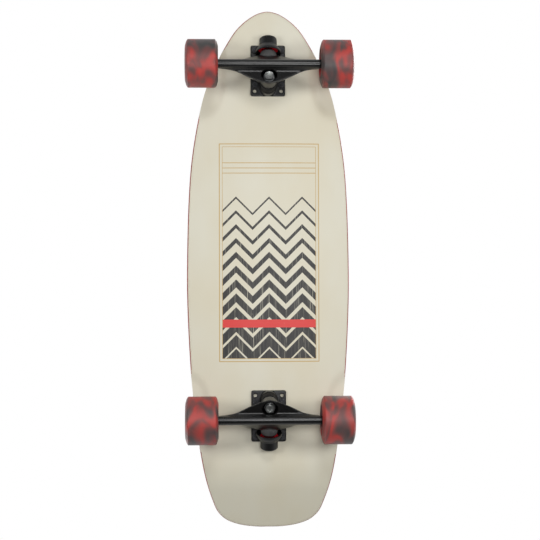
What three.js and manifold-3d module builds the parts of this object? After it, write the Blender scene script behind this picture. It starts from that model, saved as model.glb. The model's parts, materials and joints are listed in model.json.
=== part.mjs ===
// A surf skateboard with two trucks and four soft wheels, standing on its wheels.
// Millimetres, +X to the nose, +Y to the left, +Z up. The origin lies on the ground under the deck's middle.
import * as THREE from "three";
import { mergeVertices } from "three/addons/utils/BufferGeometryUtils.js";
import Module from "manifold-3d";

const wasm = await Module();
wasm.setup();

// Clearances and cuts shared by every piece
const gap = 0.3;
const overrun = 2;
const weldDistance = 0.001;
const { degToRad } = THREE.MathUtils;

// Deck: plan, thickness, concave and the two kicks
const deckLength = 807;
const deckWidth = 252.4;
const deckThickness = 10.5;
const deckEdgeRound = 3.2;
const concaveRise = 7;
const concaveFlatHalf = 30;
const noseBendInset = 52;
const noseBendLength = 20;
const noseAngle = degToRad(5);
const tailBendInset = 104.5;
const tailBendLength = 43;
const tailAngle = degToRad(20);
const noseSpineInset = 74;
const tailSpineInset = 62;
const gripThickness = 0.9;
const gripInset = 4;

// Half of the plan outline, from the nose's middle to the tail's middle:
// shares of half the deck's length and of half its width
const outlineShares = [
  [1, 0],
  [0.992, 0.117],
  [0.9765, 0.209],
  [0.953, 0.307],
  [0.922, 0.4],
  [0.883, 0.483],
  [0.8185, 0.599],
  [0.6915, 0.769],
  [0.5757, 0.861],
  [0.4218, 0.941],
  [0.2677, 0.9785],
  [0.0057, 1],
  [-0.117, 0.998],
  [-0.3095, 0.972],
  [-0.4634, 0.935],
  [-0.6947, 0.843],
  [-0.8104, 0.77],
  [-0.8924, 0.69],
  [-0.934, 0.634],
  [-0.9588, 0.567],
  [-0.975, 0.491],
  [-0.9913, 0.336],
  [-0.9994, 0.143],
  [-1, 0],
];
const outlineSpans = 30;
const deckRingShares = [0, 0.24, 0.62];
const cornerShare = 0.293;

// Wheel wells sanded into the deck's underside, at the front and rear axles
const wellDepth = 3;
const wellRimWidth = 12;
const wellPower = 2.6;
const wellSides = 20;
const wellCoreShare = 0.5;
const wells = {
  front: { insideWheelMiddle: 40, halfLength: 83, halfWidth: 55 },
  rear: { insideWheelMiddle: 16, halfLength: 77, halfWidth: 60 },
};

// Trucks: how far in from the deck's ends they stand, and how the steering axis leans
const noseToAxle = 92.7;
const tailToAxle = 174.6;
const axleDrop = 55;
const steerAngle = degToRad(20);
const seatInset = 29.7;
const seatDrop = 18.3;

// Baseplate and its holes, measured from the plate's middle
const plateLength = 79;
const plateWidth = 54;
const plateThickness = 5;
const plateCornerRadius = 3;
const plateInset = 2;
const holeSpacingY = 41.3;
const holeSpacingLong = 63.5;
const holeSpacingShort = 54;
const plateHoleRadius = 2.7;
const seatBossRadius = 12.5;
const seatBossFootRadius = 13;
const seatBossFootInset = 28.3;

// Pivot housing on the baseplate, by distance along the steering axis from the kingpin
const housingMouth = 46.4;
const housingNeck = 60;
const housingEnd = 72;
const housingDomeHeight = 4;
const housingRadius = 13.6;
const housingMouthRadius = 20;
const housingRimWall = 1.5;
const housingFlareSteps = 4;
const housingFlarePower = 2;
const cupFlangeRadius = 14.9;
const cupFlangeThickness = 2.2;
const cupFlangeInset = 2.9;
const cupRadius = 10.4;
const cupDepth = 14.5;
const cupFloor = 1.1;

// Hanger: axle tube, body, kingpin ring and pivot
const hangerTubeRadius = 6.9;
const hangerFaceDrop = 20.8;
const ringThickness = 9;
const ringHoleRadius = 6.35;
const pocketHalfWidth = 11.8;
const pocketHalfLength = 10.7;
const pocketShift = 0.8;
const collarRadius = 15.5;
const collarSeatRadius = 13.6;
const ringOuterRadius = 10.8;
const neckRadius = 12;
const neckStart = 12;
const neckEnd = 48.6;
const pivotShoulder = 53.2;
const pivotRadius = 6.5;
const pivotSteps = 3;
const webFloor = 3;
const webValleyInset = 9.3;
const webFlankRise = 4.7;
const webFlankHalf = 5;
const innerWallLean = 0.49;

// Sections of the hanger's body, from its middle outwards: the section's share of the way to the tube's end, its inner
// edge, its outer edge, the drop of that outer edge and the drop of its floor, measured from the kingpin ring's centre
const hangerSections = [
  { outShare: 0, inner: -15.5, outer: 38.7, outerDrop: 12, floor: -4.5 },
  { outShare: 0.1533, inner: -12.8, outer: 38.2, outerDrop: 12.2, floor: -4.5 },
  { outShare: 0.2427, inner: -9.4, outer: 35.6, outerDrop: 13.2, floor: 2.5 },
  { outShare: 0.3662, inner: -4.3, outer: 31.4, outerDrop: 15.6, floor: 9 },
  { outShare: 0.4744, inner: 1, outer: 27.2, outerDrop: 18, floor: 13 },
  { outShare: 0.578, inner: 5.3, outer: 24.2, outerDrop: 20.5, floor: 16 },
  { outShare: 0.706, inner: 7.9, outer: 22.3, outerDrop: 23, floor: 18.2 },
  { outShare: 0.8494, inner: 9.2, outer: 21.6, outerDrop: 24.5, floor: 19.4 },
];

// Kingpin, its bushings, washers and nut
const kingpinRadius = 4.76;
const kingpinHeadRadius = 7.25;
const kingpinHeadHeight = 5;
const kingpinHeadChamfer = 0.7;
const kingpinSocketRadius = 4.6;
const kingpinSocketDepth = 3.4;
const insertRadius = 6.4;
const insertHeight = 5;
const insertSeat = 4.5;
const kingpinTailLength = 1;
const bushingBoreRadius = 5.2;
const boardBushingHeight = 12;
const boardBushingRadius = 11.2;
const boardBushingBelly = 1;
const roadBushingHeight = 7;
const roadBushingRadius = 8.4;
const roadBushingTopRadius = 7.4;
const washerThickness = 1.6;
const boardWasherRadius = 12.2;
const roadWasherRadius = 8.1;
const washerLip = 0.6;

// Axle, wheels, bearings and axle hardware
const axleRadius = 4;
const axleBoreRadius = 4.45;
const axleLength = 250;
const wheelRadius = 36.5;
const wheelWidth = 50;
const axleEndToWheel = 22.5;
const wheelTreadWidth = 41.4;
const wheelLipRadius = 26.5;
const wheelShoulderInset = 2.1;
const wheelShoulderDrop = 3;
const wheelDishRadius = 23.5;
const wheelDishFootRadius = 15;
const wheelBoreRadius = 8.5;
const bearingRadius = 10.75;
const bearingWidth = 6.9;
const bearingSpan = 24.1;
const bearingShieldOuter = 9;
const bearingShieldInner = 6;
const bearingShieldDepth = 0.5;
const speedWasherRadius = 6.6;
const speedWasherThickness = 1;
const axleNutRadius = 7.5;
const axleNutHeight = 7;

// Mounting bolts and their nuts
const boltRadius = 2.4;
const boltHeadRadius = 4.9;
const boltHeadDepth = 3;
const boltHeadRim = 0.9;
const boltTailLength = 1.6;
const boltNutRadius = 5.3;
const boltNutHeight = 4.2;
const boltSlotLength = 4.6;
const boltSlotWidth = 1.1;
const boltSlotDepth = 1.8;
const headRoom = 0.4;

// Sides of round pieces
const wheelSides = 24;
const bearingSides = 12;
const tubeSides = 18;
const cupSides = 16;
const holeSides = 10;
const hexSides = 6;
const boltSides = 8;
const plateCornerSteps = 3;

// What follows from the sizes above
const deckHalfLength = deckLength / 2;
const deckHalfWidth = deckWidth / 2;
const noseBendStart = deckHalfLength - noseBendInset;
const tailBendStart = deckHalfLength - tailBendInset;
const axleX = { front: deckHalfLength - noseToAxle, rear: tailToAxle - deckHalfLength };
const undersideZ = wheelRadius + axleDrop;
const wheelHalf = wheelWidth / 2;
const wheelMiddle = axleLength / 2 - axleEndToWheel;
const bearingHalfSpan = bearingSpan / 2;
const pocketDepth = bearingHalfSpan - bearingWidth - gap;
const hangerHalf = wheelMiddle - bearingHalfSpan - gap;
const ringRise = gap + washerThickness + gap + boardBushingHeight + gap + ringThickness / 2;
const roadStackStart = ringThickness / 2 + gap;
const headSeat = roadStackStart + roadBushingHeight + gap + washerThickness + gap;
const kingpinTip = ringRise + insertSeat + gap + insertHeight + kingpinTailLength;

function paint(colour, roughness, metalness) {
  return new THREE.MeshStandardMaterial({ color: colour, roughness, metalness });
}

const materials = {
  deck: paint(0xd9d5c2, 0.55, 0),
  grip: paint(0x1b1b1c, 0.98, 0),
  plate: paint(0x1c1c1b, 0.45, 0.4),
  hanger: paint(0x26221c, 0.3, 0.4),
  steel: paint(0x96999a, 0.3, 1),
  blackSteel: paint(0x17171a, 0.45, 0.8),
  bushing: paint(0x202022, 0.7, 0),
  pivotCup: paint(0xc81e2a, 0.6, 0),
  urethane: paint(0xa14844, 0.5, 0),
  bearing: paint(0x2a2a2c, 0.35, 0.6),
};

// Solids from surfaces, and back

function solidOf(geometry) {
  const bare = geometry.index ? geometry.toNonIndexed() : geometry.clone();
  bare.deleteAttribute("normal");
  bare.deleteAttribute("uv");
  const welded = mergeVertices(bare, weldDistance);
  const corners = [];
  for (let i = 0; i < welded.index.count; i += 3) {
    const a = welded.index.getX(i);
    const b = welded.index.getX(i + 1);
    const c = welded.index.getX(i + 2);
    if (a !== b && b !== c && c !== a) corners.push(a, b, c);
  }
  const vertProperties = new Float32Array(welded.attributes.position.array);
  return new wasm.Manifold(new wasm.Mesh({ numProp: 3, vertProperties, triVerts: new Uint32Array(corners) }));
}

function geometryOf(solid) {
  const mesh = solid.getMesh();
  const geometry = new THREE.BufferGeometry();
  geometry.setAttribute("position", new THREE.BufferAttribute(new Float32Array(mesh.vertProperties), 3));
  geometry.setIndex(new THREE.BufferAttribute(new Uint32Array(mesh.triVerts), 1));
  const faceted = geometry.toNonIndexed();
  faceted.computeVertexNormals();
  return faceted;
}

function joined(first, ...others) {
  return others.reduce((sum, other) => sum.add(other), first);
}

function cut(first, ...others) {
  return others.reduce((rest, other) => rest.subtract(other), first);
}

function meshOf(name, solid, material) {
  const mesh = new THREE.Mesh(geometryOf(solid), material);
  mesh.name = name;
  return mesh;
}

// A closed surface through rings of points that all have as many points. Each end closes on a flat fan,
// unless the ring there folds onto itself.
function loft(rings, capped = true) {
  const count = rings[0].length;
  const positions = [];
  const face = (a, b, c) => positions.push(...a.toArray(), ...b.toArray(), ...c.toArray());
  for (let r = 0; r + 1 < rings.length; r += 1) {
    for (let i = 0; i < count; i += 1) {
      const j = (i + 1) % count;
      face(rings[r][i], rings[r][j], rings[r + 1][j]);
      face(rings[r][i], rings[r + 1][j], rings[r + 1][i]);
    }
  }
  if (capped) {
    const ends = [rings[0], rings[rings.length - 1]];
    const middles = ends.map((ring) => {
      const sum = ring.reduce((total, point) => total.add(point), new THREE.Vector3());
      return sum.divideScalar(count);
    });
    for (let i = 0; i < count; i += 1) {
      const j = (i + 1) % count;
      face(middles[0], ends[0][j], ends[0][i]);
      face(middles[1], ends[1][i], ends[1][j]);
    }
  }
  const geometry = new THREE.BufferGeometry();
  geometry.setAttribute("position", new THREE.Float32BufferAttribute(positions, 3));
  return solidOf(geometry);
}

// A profile of [radius, height] points turned round the Z axis. A profile that starts and ends on the axis is solid;
// one that closes on itself is a ring.
function turned(profile, sides, phase = 0) {
  const points = profile.map(([radius, height]) => new THREE.Vector2(radius, height));
  const geometry = new THREE.LatheGeometry(points, sides, phase);
  return solidOf(geometry.rotateX(Math.PI / 2));
}

function cylinder(radius, bottom, top, sides, phase = 0) {
  return turned([[0, bottom], [radius, bottom], [radius, top], [0, top]], sides, phase);
}

function ring(inner, outer, bottom, top, sides) {
  return turned([[inner, bottom], [outer, bottom], [outer, top], [inner, top], [inner, bottom]], sides);
}

function moved(solid, x, y, z) {
  return solid.translate([x, y, z]);
}

function alongX(solid) {
  return solid.rotate([0, 90, 0]);
}

function alongY(solid) {
  return solid.rotate([-90, 0, 0]);
}

// The deck's surface: how it rises at the nose and tail and across its width

function bendRise(past, length, angle) {
  if (past <= 0) return 0;
  const radius = length / Math.sin(angle);
  if (past < length) return radius - Math.sqrt(radius * radius - past * past);
  return radius * (1 - Math.cos(angle)) + (past - length) * Math.tan(angle);
}

function bendSlope(past, length, angle) {
  if (past <= 0) return 0;
  return past < length ? Math.asin((past / length) * Math.sin(angle)) : angle;
}

function concaveAt(y) {
  const past = Math.max(0, Math.abs(y) - concaveFlatHalf);
  const reach = deckHalfWidth - concaveFlatHalf;
  return concaveRise * (past / reach) ** 2;
}

// A point at a depth through the deck, counted upwards from its underside. The plan is that of the deck's edge,
// which is widest where its lower rounding ends.
function deckPoint(x, y, depth) {
  const nosePast = x - noseBendStart;
  const tailPast = -x - tailBendStart;
  const rise = bendRise(nosePast, noseBendLength, noseAngle) + bendRise(tailPast, tailBendLength, tailAngle);
  const slope = bendSlope(nosePast, noseBendLength, noseAngle) - bendSlope(tailPast, tailBendLength, tailAngle);
  const z = undersideZ + rise + concaveAt(y) + depth * Math.cos(slope);
  return new THREE.Vector3(x - (depth - deckEdgeRound) * Math.sin(slope), y, z);
}

// The plan outline as points all the way round, the right half an exact mirror of the left
function planOutline() {
  const left = outlineShares.map(([x, y]) => new THREE.Vector3(x * deckHalfLength, y * deckHalfWidth, 0));
  const right = left.slice(1, -1).reverse().map((point) => new THREE.Vector3(point.x, -point.y, 0));
  const curve = new THREE.CatmullRomCurve3([...left, ...right], true, "centripetal");
  const half = [];
  for (let i = 0; i <= outlineSpans; i += 1) {
    const point = curve.getPoint(i / outlineSpans / 2);
    half.push(new THREE.Vector2(point.x, i === 0 || i === outlineSpans ? 0 : point.y));
  }
  const mirrored = half.slice(1, -1).reverse().map((point) => new THREE.Vector2(point.x, -point.y));
  return [...half, ...mirrored];
}

const outline = planOutline();
const spine = outline.map((point) => {
  const x = Math.min(deckHalfLength - noseSpineInset, Math.max(tailSpineInset - deckHalfLength, point.x));
  return new THREE.Vector2(x, 0);
});

// Rings of a plate that follows the deck: by their share of the way out, or by their inset from the outline
function shareRing(share, depth) {
  return outline.map((edge, i) => {
    const plan = spine[i].clone().lerp(edge, share);
    return deckPoint(plan.x, plan.y, depth);
  });
}

function insetRing(inset, depth) {
  return outline.map((edge, i) => {
    const reach = edge.distanceTo(spine[i]);
    const plan = spine[i].clone().lerp(edge, 1 - inset / reach);
    return deckPoint(plan.x, plan.y, depth);
  });
}

function deckBlank() {
  const corner = deckEdgeRound * cornerShare;
  const bottom = deckRingShares.map((share) => shareRing(share, 0));
  const top = deckRingShares.map((share) => shareRing(share, deckThickness)).reverse();
  const edge = [
    insetRing(deckEdgeRound, 0),
    insetRing(corner, corner),
    insetRing(0, deckEdgeRound),
    insetRing(0, deckThickness - deckEdgeRound),
    insetRing(corner, deckThickness - corner),
    insetRing(deckEdgeRound, deckThickness),
  ];
  return loft([...bottom, ...edge, ...top], false);
}

// A shallow scoop that a wheel rises into, with a sloping rim
function wellScoop(end, side) {
  const { insideWheelMiddle, halfLength, halfWidth } = wells[end];
  const middleY = wheelMiddle - insideWheelMiddle + halfWidth;
  const scoopRing = (inset, depth) => {
    const points = [];
    for (let i = 0; i < wellSides; i += 1) {
      const angle = (i / wellSides) * 2 * Math.PI;
      const reach = (Math.abs(Math.cos(angle)) ** wellPower + Math.abs(Math.sin(angle)) ** wellPower) ** (-1 / wellPower);
      const x = axleX[end] + (halfLength - inset) * reach * Math.cos(angle);
      const y = middleY + (halfWidth - inset) * reach * Math.sin(angle);
      points.push(deckPoint(x, side * y, depth));
    }
    return side > 0 ? points : points.reverse();
  };
  const flare = (wellRimWidth * overrun) / wellDepth;
  const coreInset = halfWidth * wellCoreShare;
  const mouth = scoopRing(-flare, -overrun);
  return loft([
    mouth.map((point) => new THREE.Vector3(point.x, point.y, undersideZ - wellRimWidth)),
    mouth,
    scoopRing(wellRimWidth, wellDepth),
    scoopRing(coreInset, wellDepth),
  ]);
}

// The four places of a truck's bolts, from the deck's middle
function boltPlaces(end) {
  const outward = end === "front" ? 1 : -1;
  const outerPair = holeSpacingLong / 2 - plateInset;
  const secondPair = outerPair - holeSpacingShort;
  const places = [];
  for (const along of [outerPair, secondPair]) {
    for (const across of [1, -1]) {
      places.push({ x: axleX[end] + outward * along, y: (across * holeSpacingY) / 2, along, across });
    }
  }
  return places;
}

const ends = ["front", "rear"];
const allBoltPlaces = ends.flatMap((end) => boltPlaces(end));
const deckTopZ = undersideZ + deckThickness;
const gripBottomZ = deckTopZ + gap;

function boltHoleInDeck({ x, y }) {
  const mouth = boltHeadRadius + headRoom;
  const throat = boltRadius + headRoom;
  const profile = [
    [0, -overrun],
    [throat, -overrun],
    [throat, deckThickness - boltHeadDepth],
    [mouth, deckThickness],
    [mouth, deckThickness + overrun],
    [0, deckThickness + overrun],
  ];
  return moved(turned(profile, boltSides), x, y, undersideZ);
}

function makeDeck() {
  const scoops = ends.flatMap((end) => [wellScoop(end, 1), wellScoop(end, -1)]);
  const solid = cut(deckBlank(), ...scoops, ...allBoltPlaces.map(boltHoleInDeck));
  return meshOf("deck", solid, materials.deck);
}

function makeGripTape() {
  const bottomDepth = deckThickness + gap;
  const topDepth = bottomDepth + gripThickness;
  const rings = [
    ...deckRingShares.map((share) => shareRing(share, bottomDepth)),
    insetRing(gripInset, bottomDepth),
    insetRing(gripInset, topDepth),
    ...deckRingShares.map((share) => shareRing(share, topDepth)).reverse(),
  ];
  const sheet = loft(rings, false);
  const holeRadius = boltHeadRadius + headRoom;
  const holes = allBoltPlaces.map(({ x, y }) =>
    moved(cylinder(holeRadius, -overrun, gripThickness + overrun, boltSides), x, y, gripBottomZ),
  );
  return meshOf("grip_tape", cut(sheet, ...holes), materials.grip);
}

// Mounting bolts: countersunk heads in the grip tape, nuts under the baseplate

function crossSlot() {
  const long = new THREE.BoxGeometry(boltSlotLength, boltSlotWidth, boltSlotDepth + overrun);
  const arm = solidOf(long);
  const other = arm.rotate([0, 0, 90]);
  return moved(joined(arm, other), 0, 0, (overrun - boltSlotDepth) / 2);
}

function makeBolt(name, { x, y }) {
  const stack = deckThickness + gap + plateThickness + gap + boltNutHeight + boltTailLength;
  const profile = [
    [0, -stack],
    [boltRadius, -stack],
    [boltRadius, -boltHeadDepth],
    [boltHeadRadius, 0],
    [boltHeadRadius, boltHeadRim],
    [0, boltHeadRim],
  ];
  const solid = cut(turned(profile, boltSides), moved(crossSlot(), 0, 0, boltHeadRim));
  const mesh = meshOf(name, solid, materials.blackSteel);
  mesh.position.set(x, y, deckTopZ);
  return mesh;
}

function hexNut(radius, bore, height) {
  return cut(cylinder(radius, 0, height, hexSides), cylinder(bore, -overrun, height + overrun, holeSides));
}

function makeBoltNut(name, { x, y }) {
  const solid = hexNut(boltNutRadius, boltRadius + headRoom, boltNutHeight);
  const mesh = meshOf(name, solid, materials.blackSteel);
  mesh.position.set(x, y, undersideZ - gap - plateThickness - gap - boltNutHeight);
  return mesh;
}

// Truck frame: +X outwards along the board, Z down from the deck's underside as negative heights.
// Steering frame: X along the steering axis towards the pivot, Z along the kingpin towards the deck.

const alongSteer = new THREE.Vector2(Math.cos(steerAngle), Math.sin(steerAngle));
const alongPin = new THREE.Vector2(Math.sin(steerAngle), -Math.cos(steerAngle));
const ringCentre = new THREE.Vector2(-seatInset, -seatDrop).addScaledVector(alongPin, ringRise);
const axleFromRing = new THREE.Vector2(0, -axleDrop).sub(ringCentre);
const tubeX = axleFromRing.dot(alongSteer);
const tubeDrop = axleFromRing.dot(alongPin);

// A solid of the steering frame, carried to the truck frame
function tilted(solid) {
  return moved(solid.rotate([0, -THREE.MathUtils.radToDeg(steerAngle), 0]), ringCentre.x, 0, ringCentre.y);
}

function housingProfile() {
  const profile = [[0, housingMouth]];
  for (let i = 0; i <= housingFlareSteps; i += 1) {
    const share = i / housingFlareSteps;
    const flare = (housingMouthRadius - housingRadius) * (1 - share ** housingFlarePower);
    profile.push([housingRadius + flare, housingMouth + (housingNeck - housingMouth) * share]);
  }
  for (let i = 0; i <= pivotSteps; i += 1) {
    const angle = (i / pivotSteps) * (Math.PI / 2);
    const radius = i === pivotSteps ? 0 : housingRadius * Math.cos(angle);
    profile.push([radius, housingEnd + housingDomeHeight * Math.sin(angle)]);
  }
  return profile;
}

const flangeFace = housingMouth + cupFlangeInset;
const flangeBack = flangeFace + cupFlangeThickness;
const cupEnd = flangeBack + cupDepth;
const pivotEnd = cupEnd - cupFloor - gap;

function housingCavity() {
  const rim = housingMouthRadius - housingRimWall;
  const flangeRoom = cupFlangeRadius + gap;
  return [
    [0, housingMouth - overrun],
    [rim, housingMouth - overrun],
    [rim, housingMouth],
    [flangeRoom, flangeFace],
    [flangeRoom, flangeBack + gap],
    [cupRadius + gap, flangeBack + gap],
    [cupRadius + gap, cupEnd + gap],
    [0, cupEnd + gap],
  ];
}

function plateBlank() {
  const shape = new THREE.Shape();
  const halfX = plateLength / 2 - plateCornerRadius;
  const halfY = plateWidth / 2 - plateCornerRadius;
  shape.absarc(halfX, halfY, plateCornerRadius, 0, Math.PI / 2, false);
  shape.absarc(-halfX, halfY, plateCornerRadius, Math.PI / 2, Math.PI, false);
  shape.absarc(-halfX, -halfY, plateCornerRadius, Math.PI, 1.5 * Math.PI, false);
  shape.absarc(halfX, -halfY, plateCornerRadius, 1.5 * Math.PI, 2 * Math.PI, false);
  const settings = { depth: plateThickness, bevelEnabled: false, curveSegments: plateCornerSteps };
  const solid = solidOf(new THREE.ExtrudeGeometry(shape, settings));
  return moved(solid, -plateInset, 0, -gap - plateThickness);
}

// The bushing seat: it rises from a round foot on the plate to a face square to the kingpin
function seatBoss() {
  const foot = [];
  const face = [];
  for (let i = 0; i < tubeSides; i += 1) {
    const angle = (i / tubeSides) * 2 * Math.PI;
    const c = Math.cos(angle);
    const s = Math.sin(angle);
    const footX = seatBossFootRadius * c - seatBossFootInset;
    foot.push(new THREE.Vector3(footX, seatBossFootRadius * s, -gap - plateThickness / 2));
    const along = seatBossRadius * c;
    const faceX = along * alongSteer.x - seatInset;
    face.push(new THREE.Vector3(faceX, seatBossRadius * s, along * alongSteer.y - seatDrop));
  }
  return loft([face, foot]);
}

function plateHoles() {
  const outerPair = holeSpacingLong / 2;
  const holes = [];
  for (const along of [outerPair, outerPair - holeSpacingShort, -outerPair]) {
    for (const across of [1, -1]) {
      const hole = cylinder(plateHoleRadius, -plateThickness - gap - overrun, overrun, holeSides);
      holes.push(moved(hole, along - plateInset, (across * holeSpacingY) / 2, 0));
    }
  }
  return holes;
}

// Room for the kingpin and its threaded insert inside the seat boss, open to the deck
function kingpinRoom() {
  const roomStart = ringRise + insertSeat;
  const roomEnd = kingpinTip + gap;
  const bore = cylinder(kingpinRadius + headRoom, 0, roomEnd, holeSides);
  const room = cylinder(insertRadius + headRoom, roomStart, roomEnd, tubeSides);
  const pastSeat = kingpinTip - ringRise;
  const wellX = -seatInset - pastSeat * alongPin.x;
  const wellDrop = seatDrop + pastSeat * alongPin.y;
  const well = cylinder(insertRadius + headRoom, -wellDrop, overrun, tubeSides);
  return [tilted(joined(bore, room)), moved(well, wellX, 0, 0)];
}

function makeBaseplate(name) {
  const housing = tilted(alongX(turned(housingProfile(), tubeSides)));
  const cavity = tilted(alongX(turned(housingCavity(), tubeSides)));
  const body = joined(plateBlank(), seatBoss(), housing);
  const aboveDeckSide = moved(cylinder(plateLength, 0, plateThickness, holeSides), 0, 0, -gap);
  return meshOf(name, cut(body, cavity, aboveDeckSide, ...kingpinRoom(), ...plateHoles()), materials.plate);
}

// The pivot at the hanger's end and the room for it in the pivot cup share one profile, apart by a clearance
function pivotProfile(clearance) {
  const radius = pivotRadius + clearance;
  const end = pivotEnd + clearance;
  const profile = [
    [neckRadius + clearance, neckEnd],
    [radius, pivotShoulder],
    [radius, end - radius],
  ];
  for (let i = 1; i <= pivotSteps; i += 1) {
    const angle = (i / pivotSteps) * (Math.PI / 2);
    const turn = i === pivotSteps ? 0 : radius * Math.cos(angle);
    profile.push([turn, end - radius + radius * Math.sin(angle)]);
  }
  return profile;
}

function makePivotCup(name) {
  const blank = [
    [0, flangeFace],
    [cupFlangeRadius, flangeFace],
    [cupFlangeRadius, flangeBack],
    [cupRadius, flangeBack],
    [cupRadius, cupEnd],
    [0, cupEnd],
  ];
  const room = [[0, neckEnd], ...pivotProfile(gap)];
  const solid = cut(turned(blank, cupSides), turned(room, cupSides));
  return meshOf(name, tilted(alongX(solid)), materials.pivotCup);
}

// One section of the hanger's body, in the steering frame
function hangerSection(section, side) {
  const valley = Math.max(tubeX - webValleyInset, section.inner + gap);
  const flankDrop = tubeDrop + webFlankRise;
  const wallFoot = section.inner + (hangerFaceDrop - section.floor) * innerWallLean;
  const corners = [
    [section.inner, hangerFaceDrop],
    [valley, hangerFaceDrop],
    [tubeX - webFlankHalf, flankDrop],
    [tubeX + webFlankHalf, flankDrop],
    [section.outer, section.outerDrop],
    [section.outer, section.outerDrop - webFloor],
    [tubeX + hangerTubeRadius, section.floor],
    [wallFoot, section.floor],
  ];
  return corners.map(([x, drop]) => new THREE.Vector3(x, side * section.outShare * hangerHalf, -drop));
}

function hangerBody() {
  const right = hangerSections.slice(1).reverse().map((section) => hangerSection(section, -1));
  const left = hangerSections.map((section) => hangerSection(section, 1));
  return loft([...right, ...left].map((loop) => loop.reverse()));
}

function hangerPocket() {
  const depth = hangerFaceDrop - ringThickness / 2 + overrun;
  const round = cylinder(pocketHalfWidth, 0, depth, tubeSides);
  const oval = round.scale([pocketHalfLength / pocketHalfWidth, 1, 1]);
  return moved(oval, -pocketShift, 0, -hangerFaceDrop - overrun);
}

// The collar round the pocket: it narrows from the face to the ring that the kingpin passes through
function collarProfile() {
  return [
    [0, -hangerFaceDrop],
    [collarRadius, -hangerFaceDrop],
    [collarSeatRadius, -ringThickness / 2],
    [ringOuterRadius, ringThickness / 2],
    [0, ringThickness / 2],
  ];
}

function makeHanger(name) {
  const tube = moved(alongY(cylinder(hangerTubeRadius, -hangerHalf, hangerHalf, tubeSides)), tubeX, 0, -tubeDrop);
  const boreHalf = hangerHalf + overrun;
  const bore = moved(alongY(cylinder(axleBoreRadius, -boreHalf, boreHalf, holeSides)), tubeX, 0, -tubeDrop);
  const neck = alongX(turned([[0, neckStart], [neckRadius, neckStart], ...pivotProfile(0)], cupSides));
  const collar = turned(collarProfile(), tubeSides);
  const kingpinHole = cylinder(ringHoleRadius, -hangerFaceDrop, ringThickness / 2 + overrun, tubeSides);
  const undercut = cylinder(collarRadius, ringThickness / 2, neckRadius + overrun, tubeSides);
  const body = cut(joined(hangerBody(), tube, neck), undercut);
  const solid = cut(joined(body, collar), hangerPocket(), kingpinHole, bore);
  return meshOf(name, tilted(solid), materials.hanger);
}

function makeAxle(name) {
  const solid = alongY(cylinder(axleRadius, -axleLength / 2, axleLength / 2, holeSides));
  return meshOf(name, moved(solid, 0, 0, -axleDrop), materials.steel);
}

// Kingpin parts, stacked along the kingpin in the steering frame

function makeKingpin(name) {
  const headTop = -headSeat - kingpinHeadHeight;
  const profile = [
    [0, headTop],
    [kingpinHeadRadius - kingpinHeadChamfer, headTop],
    [kingpinHeadRadius, headTop + kingpinHeadChamfer],
    [kingpinHeadRadius, -headSeat],
    [kingpinRadius, -headSeat],
    [kingpinRadius, kingpinTip],
    [0, kingpinTip],
  ];
  const socket = cylinder(kingpinSocketRadius, headTop - overrun, headTop + kingpinSocketDepth, hexSides);
  return meshOf(name, tilted(cut(turned(profile, tubeSides), socket)), materials.steel);
}

function makeKingpinInsert(name) {
  const start = ringRise + insertSeat + gap;
  const solid = ring(kingpinRadius + headRoom, insertRadius, start, start + insertHeight, holeSides);
  return meshOf(name, tilted(solid), materials.blackSteel);
}

function makeBoardBushing(name) {
  const start = ringThickness / 2 + gap;
  const middle = start + boardBushingHeight / 2;
  const profile = [
    [bushingBoreRadius, start],
    [boardBushingRadius, start],
    [boardBushingRadius + boardBushingBelly, middle],
    [boardBushingRadius, start + boardBushingHeight],
    [bushingBoreRadius, start + boardBushingHeight],
    [bushingBoreRadius, start],
  ];
  return meshOf(name, tilted(turned(profile, cupSides)), materials.bushing);
}

function makeRoadBushing(name) {
  const top = -roadStackStart;
  const bottom = top - roadBushingHeight;
  const profile = [
    [bushingBoreRadius, bottom],
    [roadBushingTopRadius, bottom],
    [roadBushingRadius, top],
    [bushingBoreRadius, top],
    [bushingBoreRadius, bottom],
  ];
  return meshOf(name, tilted(turned(profile, cupSides)), materials.bushing);
}

// A cupped washer: a flat disc whose rim turns towards its bushing
function makeCupWasher(name, radius, seat, towards, material) {
  const inner = seat + towards * washerThickness;
  const lip = inner + towards * washerLip;
  const profile = [
    [bushingBoreRadius, seat],
    [radius, seat],
    [radius, lip],
    [radius - washerLip, inner],
    [bushingBoreRadius, inner],
    [bushingBoreRadius, seat],
  ];
  const ordered = towards > 0 ? profile : profile.reverse();
  return meshOf(name, tilted(turned(ordered, cupSides)), material);
}

// Wheels and bearings, about their own middles with the axle along Y

function wheelProfile() {
  const tread = wheelRadius / Math.cos(Math.PI / wheelSides);
  const bearingRoom = bearingRadius + gap;
  const recess = bearingHalfSpan + gap;
  const half = [
    [wheelBoreRadius, pocketDepth],
    [bearingRoom, pocketDepth],
    [bearingRoom, recess],
    [wheelDishFootRadius, recess],
    [wheelDishRadius, wheelHalf],
    [wheelLipRadius, wheelHalf],
    [tread - wheelShoulderDrop, wheelHalf - wheelShoulderInset],
    [tread, wheelTreadWidth / 2],
  ];
  const mirrored = half.map(([radius, along]) => [radius, -along]);
  return [...mirrored, ...half.reverse(), mirrored[0]];
}

// A flat of the tread lies on the ground
function makeWheel(name) {
  return meshOf(name, alongY(turned(wheelProfile(), wheelSides, Math.PI / wheelSides)), materials.urethane);
}

function makeBearing(name, outwards) {
  const half = bearingWidth / 2;
  const shield = half - bearingShieldDepth;
  const profile = [
    [axleBoreRadius, -half],
    [bearingRadius, -half],
    [bearingRadius, half],
    [bearingShieldOuter, half],
    [bearingShieldOuter, shield],
    [bearingShieldInner, shield],
    [bearingShieldInner, half],
    [axleBoreRadius, half],
    [axleBoreRadius, -half],
  ];
  const turnedSolid = turned(profile, bearingSides);
  const facing = outwards > 0 ? turnedSolid : turnedSolid.rotate([180, 0, 0]);
  return meshOf(name, alongY(facing), materials.bearing);
}

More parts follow.
